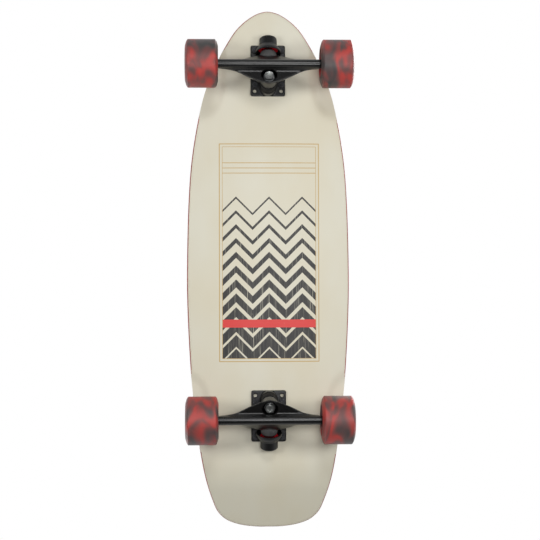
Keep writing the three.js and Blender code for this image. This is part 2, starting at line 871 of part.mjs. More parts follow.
function makeSpeedWasher(name) {
  const half = speedWasherThickness / 2;
  return meshOf(name, alongY(ring(axleBoreRadius, speedWasherRadius, -half, half, holeSides)), materials.steel);
}

function makeAxleNut(name) {
  const nut = hexNut(axleNutRadius, axleBoreRadius, axleNutHeight);
  return meshOf(name, alongY(moved(nut, 0, 0, -axleNutHeight / 2)), materials.steel);
}

// One wheel with what it runs on, at its place on the axle. Side is +1 or -1 in the truck's own frame.
function wheelSet(label, side) {
  const set = new THREE.Group();
  const place = (mesh, along) => {
    mesh.position.set(0, side * along, 0);
    set.add(mesh);
  };
  const bearingMiddle = bearingHalfSpan - bearingWidth / 2;
  const washerMiddle = bearingHalfSpan + gap + speedWasherThickness / 2;
  const nutMiddle = bearingHalfSpan + gap + speedWasherThickness + gap + axleNutHeight / 2;
  place(makeWheel(`${label}_wheel`), 0);
  place(makeBearing(`${label}_outer_bearing`, side), bearingMiddle);
  place(makeBearing(`${label}_inner_bearing`, -side), -bearingMiddle);
  place(makeSpeedWasher(`${label}_speed_washer`), washerMiddle);
  place(makeAxleNut(`${label}_axle_nut`), nutMiddle);
  set.position.set(0, side * wheelMiddle, -axleDrop);
  return set;
}

function makeTruck(end) {
  const truck = new THREE.Group();
  truck.add(makeBaseplate(`${end}_baseplate`));
  truck.add(makePivotCup(`${end}_pivot_cup`));
  truck.add(makeHanger(`${end}_hanger`));
  truck.add(makeAxle(`${end}_axle`));
  truck.add(makeKingpin(`${end}_kingpin`));
  truck.add(makeKingpinInsert(`${end}_kingpin_insert`));
  truck.add(makeBoardBushing(`${end}_board_bushing`));
  truck.add(makeRoadBushing(`${end}_road_bushing`));
  truck.add(makeCupWasher(`${end}_board_washer`, boardWasherRadius, ringRise - gap, -1, materials.blackSteel));
  truck.add(makeCupWasher(`${end}_road_washer`, roadWasherRadius, -headSeat + gap, 1, materials.steel));
  const turnedRound = end === "rear";
  for (const side of [1, -1]) {
    const isLeft = turnedRound ? side < 0 : side > 0;
    truck.add(wheelSet(`${end}_${isLeft ? "left" : "right"}`, side));
  }
  truck.position.set(axleX[end], 0, undersideZ);
  truck.rotation.z = turnedRound ? Math.PI : 0;
  return truck;
}

function placeName(end, { along, across }) {
  const pair = along > 0 ? "outer" : "inner";
  const side = across > 0 ? "left" : "right";
  return `${end}_${pair}_${side}`;
}

const board = new THREE.Group();
board.add(makeDeck());
board.add(makeGripTape());
for (const end of ends) {
  board.add(makeTruck(end));
  for (const place of boltPlaces(end)) {
    board.add(makeBolt(`${placeName(end, place)}_bolt`, place));
    board.add(makeBoltNut(`${placeName(end, place)}_bolt_nut`, place));
  }
}

export default board;
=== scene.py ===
import json
import math

import bmesh
import bpy
from mathutils import Matrix, Vector


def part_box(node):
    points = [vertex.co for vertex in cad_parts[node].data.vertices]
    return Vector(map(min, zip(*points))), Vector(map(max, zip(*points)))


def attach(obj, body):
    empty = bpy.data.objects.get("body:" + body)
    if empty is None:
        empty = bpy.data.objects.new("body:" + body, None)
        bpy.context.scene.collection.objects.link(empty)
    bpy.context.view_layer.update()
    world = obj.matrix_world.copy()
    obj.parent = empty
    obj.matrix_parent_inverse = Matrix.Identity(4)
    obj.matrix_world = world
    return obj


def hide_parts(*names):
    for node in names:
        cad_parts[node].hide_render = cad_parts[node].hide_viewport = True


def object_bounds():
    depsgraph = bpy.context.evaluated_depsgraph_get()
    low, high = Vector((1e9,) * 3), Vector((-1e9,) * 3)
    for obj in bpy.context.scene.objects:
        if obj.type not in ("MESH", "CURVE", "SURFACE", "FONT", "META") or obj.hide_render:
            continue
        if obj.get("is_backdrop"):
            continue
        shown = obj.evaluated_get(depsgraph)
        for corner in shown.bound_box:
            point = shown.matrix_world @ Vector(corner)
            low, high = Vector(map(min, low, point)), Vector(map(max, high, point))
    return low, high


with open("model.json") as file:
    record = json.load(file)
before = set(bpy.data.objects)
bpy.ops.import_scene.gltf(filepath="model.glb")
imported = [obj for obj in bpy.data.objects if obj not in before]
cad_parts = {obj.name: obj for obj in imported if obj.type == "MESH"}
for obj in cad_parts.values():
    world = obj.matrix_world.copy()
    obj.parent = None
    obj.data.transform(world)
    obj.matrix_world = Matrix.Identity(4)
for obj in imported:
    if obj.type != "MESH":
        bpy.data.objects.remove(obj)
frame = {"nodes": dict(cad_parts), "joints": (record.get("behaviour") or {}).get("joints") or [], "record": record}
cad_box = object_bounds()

# A surf skateboard, seen from straight below. Sizes are in millimetres, and meshes are made in metres.
# +X is the nose, +Y the left side, +Z up, with the ground at zero.
MM = 0.001
ENDS = ("front", "rear")
SIDES = {"left": 1, "right": -1}
GAP = 0.3

record = frame["record"]
body_of = {node: body for body, nodes in record["behaviour"]["bodies"].items() for node in nodes}
slot_of = {part["node"]: part["material_slot"] for part in record["subparts"]}
joint_of = {joint["name"]: joint for joint in frame["joints"]}
mount_of = {mount["name"]: mount for mount in record["mounts"]}


# Camera, at the photograph's viewing angle: almost straight up at the underside, the nose at the top

FRAME_PIXELS = 540
PIXELS_PER_MM = 0.644
SENSOR = 36
CAMERA_DISTANCE = 2000
CAMERA_TO_TAIL = 39
CAMERA_TO_LEFT_IN_PICTURE = 78
CAMERA_ROLL = -0.0026
AIM_X = -0.9
AIM_Y = 2.65
UNDERSIDE_Z = mount_of["underside_face"]["pos_m"][2] / MM


def make_camera():
    data = bpy.data.cameras.new("camera")
    data.sensor_width = SENSOR
    data.lens = PIXELS_PER_MM * CAMERA_DISTANCE * SENSOR / FRAME_PIXELS
    camera = bpy.data.objects.new("camera", data)
    bpy.context.scene.collection.objects.link(camera)
    aim = Vector((AIM_X, AIM_Y, UNDERSIDE_Z))
    place = aim - Vector((CAMERA_TO_TAIL, CAMERA_TO_LEFT_IN_PICTURE, CAMERA_DISTANCE))
    forward = (aim - place).normalized()
    right = forward.cross(Vector((1, 0, 0))).normalized()
    up = right.cross(forward)
    turn = Matrix((right, up, -forward)).transposed().to_4x4() @ Matrix.Rotation(CAMERA_ROLL, 4, "Z")
    camera.matrix_world = Matrix.Translation(place * MM) @ turn
    bpy.context.scene.camera = camera


# Frames of reference, in millimetres

def joint_place(name):
    return Vector(joint_of[name]["pos_m"]) / MM


def frame_at(origin, along, across):
    """A frame whose X axis runs along, whose Y axis runs across, and whose Z axis is square to both"""
    matrix = Matrix((along, across, along.cross(across))).transposed().to_4x4()
    matrix.translation = origin
    return matrix


def steering_frame(end):
    """At the kingpin ring's centre: X along the steering axis to the pivot, Z along the kingpin"""
    along = Vector(joint_of[f"{end}_steer"]["axis"]).normalized()
    across = Vector((0, math.copysign(1, along.x), 0))
    return frame_at(joint_place(f"{end}_steer"), along, across)


def truck_frame(end):
    """On the deck's underside over the axle: X outwards along the board, Z up"""
    outwards = math.copysign(1, joint_of[f"{end}_steer"]["axis"][0])
    origin = Vector((joint_place(f"{end}_left_roll").x, 0, UNDERSIDE_Z))
    return frame_at(origin, Vector((outwards, 0, 0)), Vector((0, outwards, 0)))


def pivot_frame(end):
    """The steering frame with its Z axis laid along the steering axis"""
    return steering_frame(end) @ Matrix.Rotation(math.pi / 2, 4, "Y")


def axle_frame(end):
    """At the axle's middle: X along the board, Z along the axle to the left side"""
    middle = joint_place(f"{end}_left_roll")
    middle.y = 0
    return frame_at(middle, Vector((1, 0, 0)), Vector((0, 0, -1)))


def wheel_frame(end, side):
    """At a wheel's middle: Z outwards along the axle"""
    outwards = Vector((0, SIDES[side], 0))
    along = Vector((1, 0, 0))
    return frame_at(joint_place(f"{end}_{side}_roll"), along, outwards.cross(along))


def span(node, place):
    """How far a CAD node reaches from the Z axis of place, and its lowest and highest points on it"""
    back = place.inverted()
    local = [back @ (vertex.co / MM) for vertex in frame["nodes"][node].data.vertices]
    reach = max(math.hypot(point.x, point.y) for point in local)
    return reach, min(point.z for point in local), max(point.z for point in local)


# Meshes

TURNED_SIDES = 96
FILLET_STEPS = 4
CURVE_STEPS = 8
WELD_DISTANCE = 1e-7
SHARP_ANGLE = math.radians(38)
CAST_VOXEL = 0.7
CAST_SOFTENING = 6
SOFTEN_SHARE = 0.5
OVERRUN = 2


def add_object(name, mesh):
    piece = bpy.data.objects.new(name, mesh)
    bpy.context.scene.collection.objects.link(piece)
    return piece


def edited(mesh, *changes):
    """Runs bmesh changes on a mesh"""
    work = bmesh.new()
    work.from_mesh(mesh)
    for change in changes:
        change(work)
    work.to_mesh(mesh)
    work.free()
    mesh.update()


def weld(work):
    bmesh.ops.remove_doubles(work, verts=work.verts, dist=WELD_DISTANCE)


def face_out(work):
    bmesh.ops.recalc_face_normals(work, faces=work.faces)


def lofted(name, rings, closed=False, capped=False, look=None):
    """A skin through rings of points: closed on itself, capped, or folded shut at its end rings"""
    count = len(rings[0])
    points = [Vector(point) * MM for ring in rings for point in ring]
    faces = []
    looks = []
    for row in range(len(rings) if closed else len(rings) - 1):
        low = row * count
        high = (row + 1) % len(rings) * count
        for i in range(count):
            j = (i + 1) % count
            faces.append((low + i, low + j, high + j, high + i))
            looks.append(look(row, i) if look else 0)
    if capped:
        last = len(points) - count
        faces += [tuple(range(count)), tuple(range(last, last + count))]
        looks += [0, 0]
    mesh = bpy.data.meshes.new(name)
    mesh.from_pydata(points, [], faces)
    mesh.polygons.foreach_set("material_index", looks)
    edited(mesh, weld, face_out)
    return add_object(name, mesh)


def rounded(profile, fillet, closed=False):
    """Rows of (radius, along) with their corners rounded, but for those with an outline"""
    rows = []
    last = len(profile) - 1
    for i, row in enumerate(profile):
        neighbours = (profile[i - 1], profile[(i + 1) % len(profile)])
        at_end = not closed and i in (0, last)
        if at_end or len(row) > 2 or any(len(other) > 2 for other in neighbours):
            rows.append(row)
            continue
        corner = Vector(row)
        before, after = (Vector(other) - corner for other in neighbours)
        reach = min(fillet, before.length / 2, after.length / 2)
        start = corner + before.normalized() * reach
        end = corner + after.normalized() * reach
        for step in range(FILLET_STEPS + 1):
            share = step / FILLET_STEPS
            rows.append(tuple(start.lerp(corner, share).lerp(corner.lerp(end, share), share)))
    return rows


def hexagon(angle):
    part = math.pi / 3
    return math.cos(part / 2) / math.cos(angle % part - part / 2)


CROSS_SHARE = 0.26


def cross(angle):
    quarter = math.pi / 2
    folded = (angle + quarter / 2) % quarter - quarter / 2
    arm_end = 1 / math.cos(folded)
    arm_side = CROSS_SHARE / max(abs(math.sin(folded)), CROSS_SHARE / 2)
    return min(arm_end, arm_side)


def turned(name, rows, place, closed=False):
    """Rows of (radius, along), and an outline where it isn't round, turned about the Z axis of place"""
    rings = []
    for radius, along, *outline in rows:
        ring = []
        for i in range(TURNED_SIDES):
            angle = 2 * math.pi * i / TURNED_SIDES
            reach = radius * outline[0](angle) if outline else radius
            ring.append(place @ Vector((reach * math.cos(angle), reach * math.sin(angle), along)))
        rings.append(ring)
    return lofted(name, rings, closed)


def rod(radius, low, high):
    """Rows of a plain rod"""
    return [(0, low), (radius, low), (radius, high), (0, high)]


def sleeve(hole, radius, low, high):
    """Rows of a plain sleeve"""
    return [(hole, low), (radius, low), (radius, high), (hole, high)]


def turned_ring(name, rows, fillet, place):
    """A ring turned about the Z axis of place, with the corners of its profile rounded"""
    return turned(name, rounded(rows, fillet, closed=True), place, closed=True)


def thread(radius, depth, start, end, pitch):
    """Rows of a screw thread between two places along an axis"""
    turns = round(abs(end - start) / pitch)
    step = (end - start) / turns
    rows = []
    for i in range(turns):
        rows.append((radius, start + i * step))
        rows.append((radius - depth, start + (i + 0.5) * step))
    rows.append((radius, end))
    return rows


def applied(piece):
    """Turns a piece's modifiers into its mesh"""
    graph = bpy.context.evaluated_depsgraph_get()
    mesh = bpy.data.meshes.new_from_object(piece.evaluated_get(graph))
    piece.modifiers.clear()
    piece.data = mesh
    return piece


def merged(pieces):
    """Several pieces as one object that holds all their meshes"""
    first = pieces[0]
    work = bmesh.new()
    for piece in pieces:
        work.from_mesh(piece.data)
    work.to_mesh(first.data)
    work.free()
    for piece in pieces[1:]:
        bpy.data.objects.remove(piece)
    return first


def cast(name, forms):
    """One casting out of closed forms that overlap, its corners softened as a mould leaves them"""
    piece = merged(forms)
    piece.name = name
    skin = piece.modifiers.new("skin", "REMESH")
    skin.mode = "VOXEL"
    skin.voxel_size = CAST_VOXEL * MM
    soften = piece.modifiers.new("soften", "SMOOTH")
    soften.factor = SOFTEN_SHARE
    soften.iterations = CAST_SOFTENING
    return applied(piece)


def combine(piece, others, operation):
    other = merged(others)
    step = piece.modifiers.new("combine", "BOOLEAN")
    step.operation = operation
    step.solver = "MANIFOLD"
    step.object = other
    applied(piece)
    bpy.data.objects.remove(other)
    return piece


def carve(piece, *cutters):
    return combine(piece, cutters, "DIFFERENCE")


def fuse(piece, *forms):
    return combine(piece, forms, "UNION")


def bore(piece, radius, low, high, place):
    """Cuts a round hole along the Z axis of place"""
    return carve(piece, turned("bore", rod(radius, low, high), place))


def dress(piece, node, *materials):
    """The piece stands for a CAD node, on the node's body"""
    looks = [face.material_index for face in piece.data.polygons]
    piece.data.materials.clear()
    for material in materials:
        piece.data.materials.append(material)
    piece.data.polygons.foreach_set("material_index", looks)
    piece.data.shade_smooth()
    piece.data.set_sharp_from_angle(angle=SHARP_ANGLE)
    even = piece.modifiers.new("even_normals", "WEIGHTED_NORMAL")
    even.keep_sharp = True
    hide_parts(node)
    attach(piece, body_of[node])
    return piece


def paint_where(piece, index, place, chosen):
    """Gives a material index to the faces whose middle, as radius and height in place, is chosen"""
    back = place.inverted()
    for face in piece.data.polygons:
        middle = back @ (face.center / MM)
        if chosen(math.hypot(middle.x, middle.y), middle.z):
            face.material_index = index


# Materials

def linear(value):
    """The linear share of one channel, from its screen value between 0 and 255"""
    share = value / 255
    return share / 12.92 if share <= 0.04045 else ((share + 0.055) / 1.055) ** 2.4


def colour(red, green, blue):
    """A colour given as it shows on a screen, as the linear value that a shader takes"""
    return (linear(red), linear(green), linear(blue), 1)


NOISE_LOW = 0.3
NOISE_HIGH = 0.7


class Nodes:
    """A node tree in the making"""

    def __init__(self, tree):
        self.tree = tree

    def add(self, kind, inputs=None, **settings):
        made = self.tree.nodes.new(kind)
        for key, value in settings.items():
            setattr(made, key, value)
        for key, value in (inputs or {}).items():
            self.feed(made.inputs[key], value)
        return made

    def feed(self, socket, value):
        if isinstance(value, bpy.types.NodeSocket):
            self.tree.links.new(value, socket)
        else:
            socket.default_value = value

    def math(self, operation, *values):
        return self.add("ShaderNodeMath", dict(enumerate(values)), operation=operation).outputs[0]

    def times(self, first, *others):
        product = first
        for other in others:
            product = self.math("MULTIPLY", product, other)
        return product

    def line(self, value, middle, width):
        """1 where the value is on a line of that width, else 0"""
        return self.math("COMPARE", value, middle, width / 2)

    def place(self, size=(1, 1, 1), shift=(0, 0, 0)):
        """The place on the piece, in steps of size millimetres along X, Y and Z"""
        source = self.add("ShaderNodeTexCoord").outputs["Object"]
        scale = [1 / (length * MM) for length in size]
        inputs = {"Vector": source, "Scale": scale, "Location": shift}
        return self.add("ShaderNodeMapping", inputs).outputs[0]

    def noise(self, size, detail=2, roughness=0.5, distortion=0, shift=(0, 0, 0)):
        """Noise whose patches measure about size millimetres along X, Y and Z"""
        inputs = {
            "Vector": self.place(size, shift),
            "Scale": 1,
            "Detail": detail,
            "Roughness": roughness,
            "Distortion": distortion,
        }
        return self.add("ShaderNodeTexNoise", inputs).outputs[0]

    def remap(self, value, low, high, out_low=0, out_high=1):
        inputs = {0: value, 1: low, 2: high, 3: out_low, 4: out_high}
        return self.add("ShaderNodeMapRange", inputs).outputs[0]

    def spread(self, noise, low=0, high=1):
        """Noise stretched over a range"""
        return self.remap(noise, NOISE_LOW, NOISE_HIGH, low, high)

    def mix(self, share, first, second):
        inputs = {0: share, 6: first, 7: second}
        return self.add("ShaderNodeMix", inputs, data_type="RGBA").outputs[2]

    def ramp(self, value, stops):
        made = self.add("ShaderNodeValToRGB", {0: value})
        elements = made.color_ramp.elements
        while len(elements) < len(stops):
            elements.new(1)
        for element, (position, tone) in zip(elements, stops):
            element.position = position
            element.color = tone
        return made.outputs[0]


class Look(Nodes):
    """A material in the making, with its surface's settings"""

    def __init__(self, name, **surface):
        self.material = bpy.data.materials.new(name)
        self.material.use_nodes = True
        super().__init__(self.material.node_tree)
        self.surface = self.tree.nodes["Principled BSDF"]
        for key, value in surface.items():
            self.give(key.replace("_", " ").title().replace("Ior", "IOR"), value)

    def give(self, key, value):
        self.feed(self.surface.inputs[key], value)

    def bump(self, *layers):
        """Relief from (height, depth in millimetres) pairs, one on another"""
        normal = None
        for height, depth in layers:
            inputs = {"Strength": 1, "Distance": depth * MM, "Height": height}
            if normal:
                inputs["Normal"] = normal
            normal = self.add("ShaderNodeBump", inputs).outputs[0]
        self.give("Normal", normal)


CREAM_WARM = colour(218, 211, 188)
CREAM_COOL = colour(221, 217, 199)
CREAM_SCUFF = colour(203, 197, 176)
INK_BLACK = colour(24, 23, 23)
INK_GREY = colour(66, 63, 58)
STRIPE_RED = colour(222, 52, 48)
GOLD = colour(196, 164, 104)

# The printed panel: its corners, and a plain pattern of chevrons, one stripe and straight lines
PANEL_LOW = (-142.9, -75.8)
PANEL_HIGH = (195.5, 78.7)
FRAME_LINE = 1.4
INNER_LINE = 0.8
INNER_LINE_INSET = 4.5
CHEVRON_COUNT = 3
CHEVRON_PITCH = 23
CHEVRON_END = 128
CHEVRON_WIDEST_SHARE = 0.86
CHEVRON_THINNEST_SHARE = 0.1
STRIPE_X = -84
STRIPE_WIDTH = 12.4
RULE_PLACES = (150, 158, 166)
RULE_WIDTH = 1.2
DRY_PATCH = (90, 1.6, 2)
DRIEST_INK_SHARE = 0.35
STREAK_PATCH = (70, 1.1, 2)
STREAK_SHIFT = (3, 7, 1)


def panel(look, ground):
    """The panel's colours over the ground colour"""
    parts = look.add("ShaderNodeSeparateXYZ", {0: look.place()})
    x, y = parts.outputs[0], parts.outputs[1]
    middle_x, middle_y = ((low + high) / 2 for low, high in zip(PANEL_LOW, PANEL_HIGH))
    half_length = PANEL_HIGH[0] - middle_x
    half_width = PANEL_HIGH[1] - middle_y
    from_x = look.math("ABSOLUTE", look.math("SUBTRACT", x, middle_x))
    from_y = look.math("ABSOLUTE", look.math("SUBTRACT", y, middle_y))
    past_edge = look.math(
        "MAXIMUM", look.math("SUBTRACT", from_x, half_length), look.math("SUBTRACT", from_y, half_width)
    )
    inside = look.math("LESS_THAN", past_edge, -INNER_LINE_INSET)

    zigzag = look.math("PINGPONG", from_y, half_width / CHEVRON_COUNT)
    along = look.math("ADD", x, zigzag)
    count = look.math("DIVIDE", look.math("SUBTRACT", along, PANEL_LOW[0]), CHEVRON_PITCH)
    step = look.times(look.math("FLOOR", count), CHEVRON_PITCH)
    share = look.remap(
        step, 0, CHEVRON_END - PANEL_LOW[0], CHEVRON_WIDEST_SHARE, CHEVRON_THINNEST_SHARE
    )
    band = look.math("LESS_THAN", look.math("FRACT", count), share)
    chevron = look.times(band, look.math("LESS_THAN", along, CHEVRON_END))
    dry = look.noise(DRY_PATCH, detail=4, roughness=0.65)
    ink = look.remap(dry, 0.3, 0.42, DRIEST_INK_SHARE)
    streaks = look.noise(STREAK_PATCH, detail=3, shift=STREAK_SHIFT)
    black = look.mix(look.remap(streaks, 0.45, 0.75), INK_BLACK, INK_GREY)
    tone = look.mix(look.times(chevron, inside, ink), ground, black)

    stripe = look.line(x, STRIPE_X, STRIPE_WIDTH)
    tone = look.mix(look.times(stripe, inside), tone, STRIPE_RED)
    for place in RULE_PLACES:
        rule = look.line(x, place, RULE_WIDTH)
        tone = look.mix(look.times(rule, inside), tone, GOLD)
    outer = look.line(past_edge, 0, FRAME_LINE)
    inner = look.line(past_edge, -INNER_LINE_INSET, INNER_LINE)
    return look.mix(look.math("MAXIMUM", outer, inner), tone, GOLD)


PAINT_PATCH = (160, 90, 90)
PAINT_GRAIN = (180, 1.4, 1.4)
PAINT_SPECK = (0.7, 0.7, 0.7)
SCUFF_PATCH = (26, 3.2, 3.2)
PAINT_GRAIN_DEPTH = 0.05
PAINT_SPECK_DEPTH = 0.02


def deck_paint():
    look = Look("deck_paint")
    tone = look.noise(PAINT_PATCH, detail=3)
    grain = look.noise(PAINT_GRAIN, detail=4)
    speck = look.noise(PAINT_SPECK)
    scuffs = look.noise(SCUFF_PATCH, detail=5, roughness=0.7, distortion=0.6)
    cream = look.mix(look.remap(tone, 0.35, 0.65), CREAM_WARM, CREAM_COOL)
    scuffed = look.remap(scuffs, 0.66, 0.8, 0, 0.5)
    look.give("Base Color", look.mix(scuffed, panel(look, cream), CREAM_SCUFF))
    look.give("Roughness", look.spread(speck, 0.4, 0.54))
    look.bump((grain, PAINT_GRAIN_DEPTH), (speck, PAINT_SPECK_DEPTH))
    return look.material


MAPLE_LIGHT = colour(206, 168, 136)
MAPLE_DARK = colour(172, 132, 102)
RED_PLY_LIGHT = colour(186, 52, 44)
RED_PLY_DARK = colour(128, 30, 28)
PLY_GRAIN = (60, 1.2, 0.35)
PLY_PORES = (7, 0.25, 0.25)
PLY_GRAIN_DEPTH = 0.06
PLY_PORE_DEPTH = 0.03


def ply(name, light, dark):
    look = Look(name)
    grain = look.noise(PLY_GRAIN, detail=5, roughness=0.6, distortion=0.3)
    pores = look.noise(PLY_PORES)
    look.give("Base Color", look.mix(look.spread(grain), light, dark))
    look.give("Roughness", look.spread(pores, 0.42, 0.62))
    look.bump((grain, PLY_GRAIN_DEPTH), (pores, PLY_PORE_DEPTH))
    return look.material


GRIT_DARK = colour(20, 20, 21)
GRIT_LIGHT = colour(74, 74, 76)
GRIT_SIZE = (0.55, 0.55, 0.55)
GRIT_CLUMP = (2.2, 2.2, 2.2)
GRIP_DUST = (130, 60, 60)
GRIT_DEPTH = 0.22
GRIT_CLUMP_DEPTH = 0.12


def grip():
    look = Look("grip_grit", specular_ior_level=0.35)
    grit = look.add("ShaderNodeTexVoronoi", {"Vector": look.place(GRIT_SIZE), "Scale": 1})
    grit = grit.outputs["Distance"]
    clumps = look.noise(GRIT_CLUMP, detail=3)
    dust = look.noise(GRIP_DUST, detail=4)
    speck = look.remap(grit, 0.1, 0.5, 0.42, 0)
    tone = look.math("ADD", speck, look.remap(dust, 0.45, 0.75, 0, 0.14))
    look.give("Base Color", look.mix(tone, GRIT_DARK, GRIT_LIGHT))
    look.give("Roughness", look.spread(clumps, 0.8, 0.97))
    look.bump((grit, GRIT_DEPTH), (clumps, GRIT_CLUMP_DEPTH))
    return look.material


METAL_CLOUD = (14, 14, 14)
MOULDED_CLOUD = (9, 9, 9)
MOULDED_DEPTH = 0.03


def metal(name, light, dark, roughness, marks, depth, metallic=0, shine=0.5):
    """A metal or a coated metal, with fine relief whose marks measure so many millimetres"""
    look = Look(name, metallic=metallic, specular_ior_level=shine)
    relief = look.noise(marks, detail=4, roughness=0.6)
    cloud = look.noise(METAL_CLOUD, detail=3)
    look.give("Base Color", look.mix(look.remap(cloud, 0.35, 0.65), light, dark))
    look.give("Roughness", look.spread(relief, *roughness))
    look.bump((relief, depth))
    return look.material


def moulded(name, light, dark, roughness, mark):
    """A moulded rubber or plastic, with a faint mould texture"""
    look = Look(name, specular_ior_level=0.2)
    skin = look.noise((mark, mark, mark), detail=3)
    cloud = look.noise(MOULDED_CLOUD)
    look.give("Base Color", look.mix(look.spread(cloud), light, dark))
    look.give("Roughness", look.spread(skin, *roughness))
    look.bump((skin, MOULDED_DEPTH))
    return look.material


# Where along the noise each tone of the wheels stands
SWIRL_TONES = (
    (0.25, colour(58, 58, 58)),
    (0.38, colour(84, 66, 65)),
    (0.5, colour(128, 66, 63)),
    (0.6, colour(172, 62, 57)),
    (0.75, colour(188, 66, 60)),
)
SWIRL_PATCH = (40, 22, 40)
TYRE_SKIN = (1.3, 1.3, 1.3)
TYRE_SKIN_DEPTH = 0.04


def urethane(name, place, seed):
    """Poured urethane: two colours drawn round the wheel in long swirls"""
    look = Look(name, specular_ior_level=0.45)
    shift = [seed - middle / size for middle, size in zip(place.translation, SWIRL_PATCH)]
    swirl = look.noise(SWIRL_PATCH, detail=1.5, roughness=0.45, distortion=0.9, shift=shift)
    skin = look.noise(TYRE_SKIN, detail=3)
    look.give("Base Color", look.ramp(swirl, SWIRL_TONES))
    look.give("Roughness", look.spread(skin, 0.4, 0.58))
    look.bump((skin, TYRE_SKIN_DEPTH))
    return look.material


PAINT = deck_paint()
MAPLE = ply("maple_ply", MAPLE_LIGHT, MAPLE_DARK)
RED_PLY = ply("red_ply", RED_PLY_LIGHT, RED_PLY_DARK)
GRIP = grip()
GLOSS_BLACK = metal(
    "gloss_black", colour(6, 6, 6), colour(9, 9, 8),
    roughness=(0.25, 0.32), marks=(1.1, 1.1, 1.1), depth=0.012, shine=0.45,
)
SATIN_BLACK = metal(
    "satin_black", colour(7, 7, 7), colour(10, 10, 10),
    roughness=(0.34, 0.44), marks=(0.8, 0.8, 0.8), depth=0.02, shine=0.35,
)
# Painted sheen: a lighter grey for the hanger's neck that stands in for the light the neck catches; only its
# rougher finish is the neck's own
NECK_PAINTED_SHEEN = metal(
    "neck_painted_sheen", colour(68, 68, 68), colour(82, 82, 81),
    roughness=(0.45, 0.6), marks=(0.8, 0.8, 0.8), depth=0.02,
)
STEEL = metal(
    "bright_steel", colour(176, 178, 176), colour(160, 162, 160),
    roughness=(0.2, 0.36), marks=(0.3, 0.3, 6), depth=0.006, metallic=1,
)
ZINC = metal(
    "zinc_steel", colour(158, 160, 160), colour(138, 140, 142),
    roughness=(0.3, 0.45), marks=(1.5, 1.5, 1.5), depth=0.01, metallic=1,
)
BLACK_OXIDE = metal(
    "black_oxide", colour(18, 18, 20), colour(27, 27, 29),
    roughness=(0.34, 0.5), marks=(0.7, 0.7, 0.7), depth=0.02, metallic=0.4,
)
BLACK_RUBBER = moulded("black_rubber", colour(16, 16, 17), colour(24, 24, 25), (0.5, 0.66), 0.6)
RED_CUP = moulded("red_cup", colour(196, 24, 36), colour(170, 18, 30), (0.45, 0.6), 0.8)
NYLON = moulded("nylon_ring", colour(60, 62, 66), colour(50, 52, 56), (0.5, 0.6), 0.5)


# Deck: laminated board and grip tape

DECK_THICKNESS = 10.5
DECK_EDGE_ROUND = 3.2
CONCAVE_RISE = 7
CONCAVE_FLAT_HALF = 30
NOSE_BEND_INSET = 52
NOSE_BEND_LENGTH = 20
NOSE_ANGLE = math.radians(5)
TAIL_BEND_INSET = 104.5
TAIL_BEND_LENGTH = 43
TAIL_ANGLE = math.radians(20)
NOSE_SPINE_INSET = 74
TAIL_SPINE_INSET = 62
GRIP_INSET = 4
GRIP_EDGE_ROUND = 0.3
PLY_COUNT = 7
RED_PLIES = (0, 1, 5)
PAINT_WRAP = 0.3
STEPS_PER_PLY = 3
OUTLINE_SPANS = 480
FACE_RINGS = 36

WELL_DEPTH = 3
WELL_RIM_WIDTH = 12
WELL_POWER = 2.6
WELLS = {
    "front": {"inside_wheel": 40, "half_length": 83, "half_width": 55},
    "rear": {"inside_wheel": 16, "half_length": 77, "half_width": 60},
}

# Half of the plan outline, from nose to tail: shares of half the deck's length and of half its width
OUTLINE_SHARES = (
    (1, 0), (0.992, 0.117), (0.9765, 0.209), (0.953, 0.307), (0.922, 0.4), (0.883, 0.483),
    (0.8185, 0.599), (0.6915, 0.769), (0.5757, 0.861), (0.4218, 0.941), (0.2677, 0.9785), (0.0057, 1),
    (-0.117, 0.998), (-0.3095, 0.972), (-0.4634, 0.935), (-0.6947, 0.843), (-0.8104, 0.77),
    (-0.8924, 0.69), (-0.934, 0.634), (-0.9588, 0.567), (-0.975, 0.491), (-0.9913, 0.336),
    (-0.9994, 0.143), (-1, 0),
)

deck_low, deck_high = (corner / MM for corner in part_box("deck"))
DECK_HALF_LENGTH = (deck_high.x - deck_low.x) / 2
DECK_HALF_WIDTH = (deck_high.y - deck_low.y) / 2


def bend_rise(past, length, angle):
    if past <= 0:
        return 0
    radius = length / math.sin(angle)
    if past < length:
        return radius - math.sqrt(radius * radius - past * past)
    return radius * (1 - math.cos(angle)) + (past - length) * math.tan(angle)


def bend_slope(past, length, angle):
    if past <= 0:
        return 0
    return math.asin(past / length * math.sin(angle)) if past < length else angle


def deck_point(plan, depth):
    """A point at a depth through the deck, counted upwards from its underside"""
    nose = (plan.x - DECK_HALF_LENGTH + NOSE_BEND_INSET, NOSE_BEND_LENGTH, NOSE_ANGLE)
    tail = (TAIL_BEND_INSET - DECK_HALF_LENGTH - plan.x, TAIL_BEND_LENGTH, TAIL_ANGLE)
    slope = bend_slope(*nose) - bend_slope(*tail)
    past = max(0, abs(plan.y) - CONCAVE_FLAT_HALF)
    concave = CONCAVE_RISE * (past / (DECK_HALF_WIDTH - CONCAVE_FLAT_HALF)) ** 2
    z = UNDERSIDE_Z + bend_rise(*nose) + bend_rise(*tail) + concave + depth * math.cos(slope)
    return Vector((plan.x - (depth - DECK_EDGE_ROUND) * math.sin(slope), plan.y, z))


def curve_point(points, share):
    """A point on the closed centripetal curve through the points"""
    count = len(points)
    index, weight = divmod(share * count, 1)
    a, b, c, d = (points[(int(index) + k) % count] for k in (-1, 0, 1, 2))
    steps = [math.sqrt((end - start).length) for start, end in ((a, b), (b, c), (c, d))]
    leave = (b - a) / steps[0] - (c - a) / (steps[0] + steps[1]) + (c - b) / steps[1]
    arrive = (c - b) / steps[1] - (d - b) / (steps[1] + steps[2]) + (d - c) / steps[2]
    leave = leave * steps[1]
    arrive = arrive * steps[1]
    square = (c - b) * 3 - leave * 2 - arrive
    cube = (b - c) * 2 + leave + arrive
    return b + leave * weight + square * weight ** 2 + cube * weight ** 3


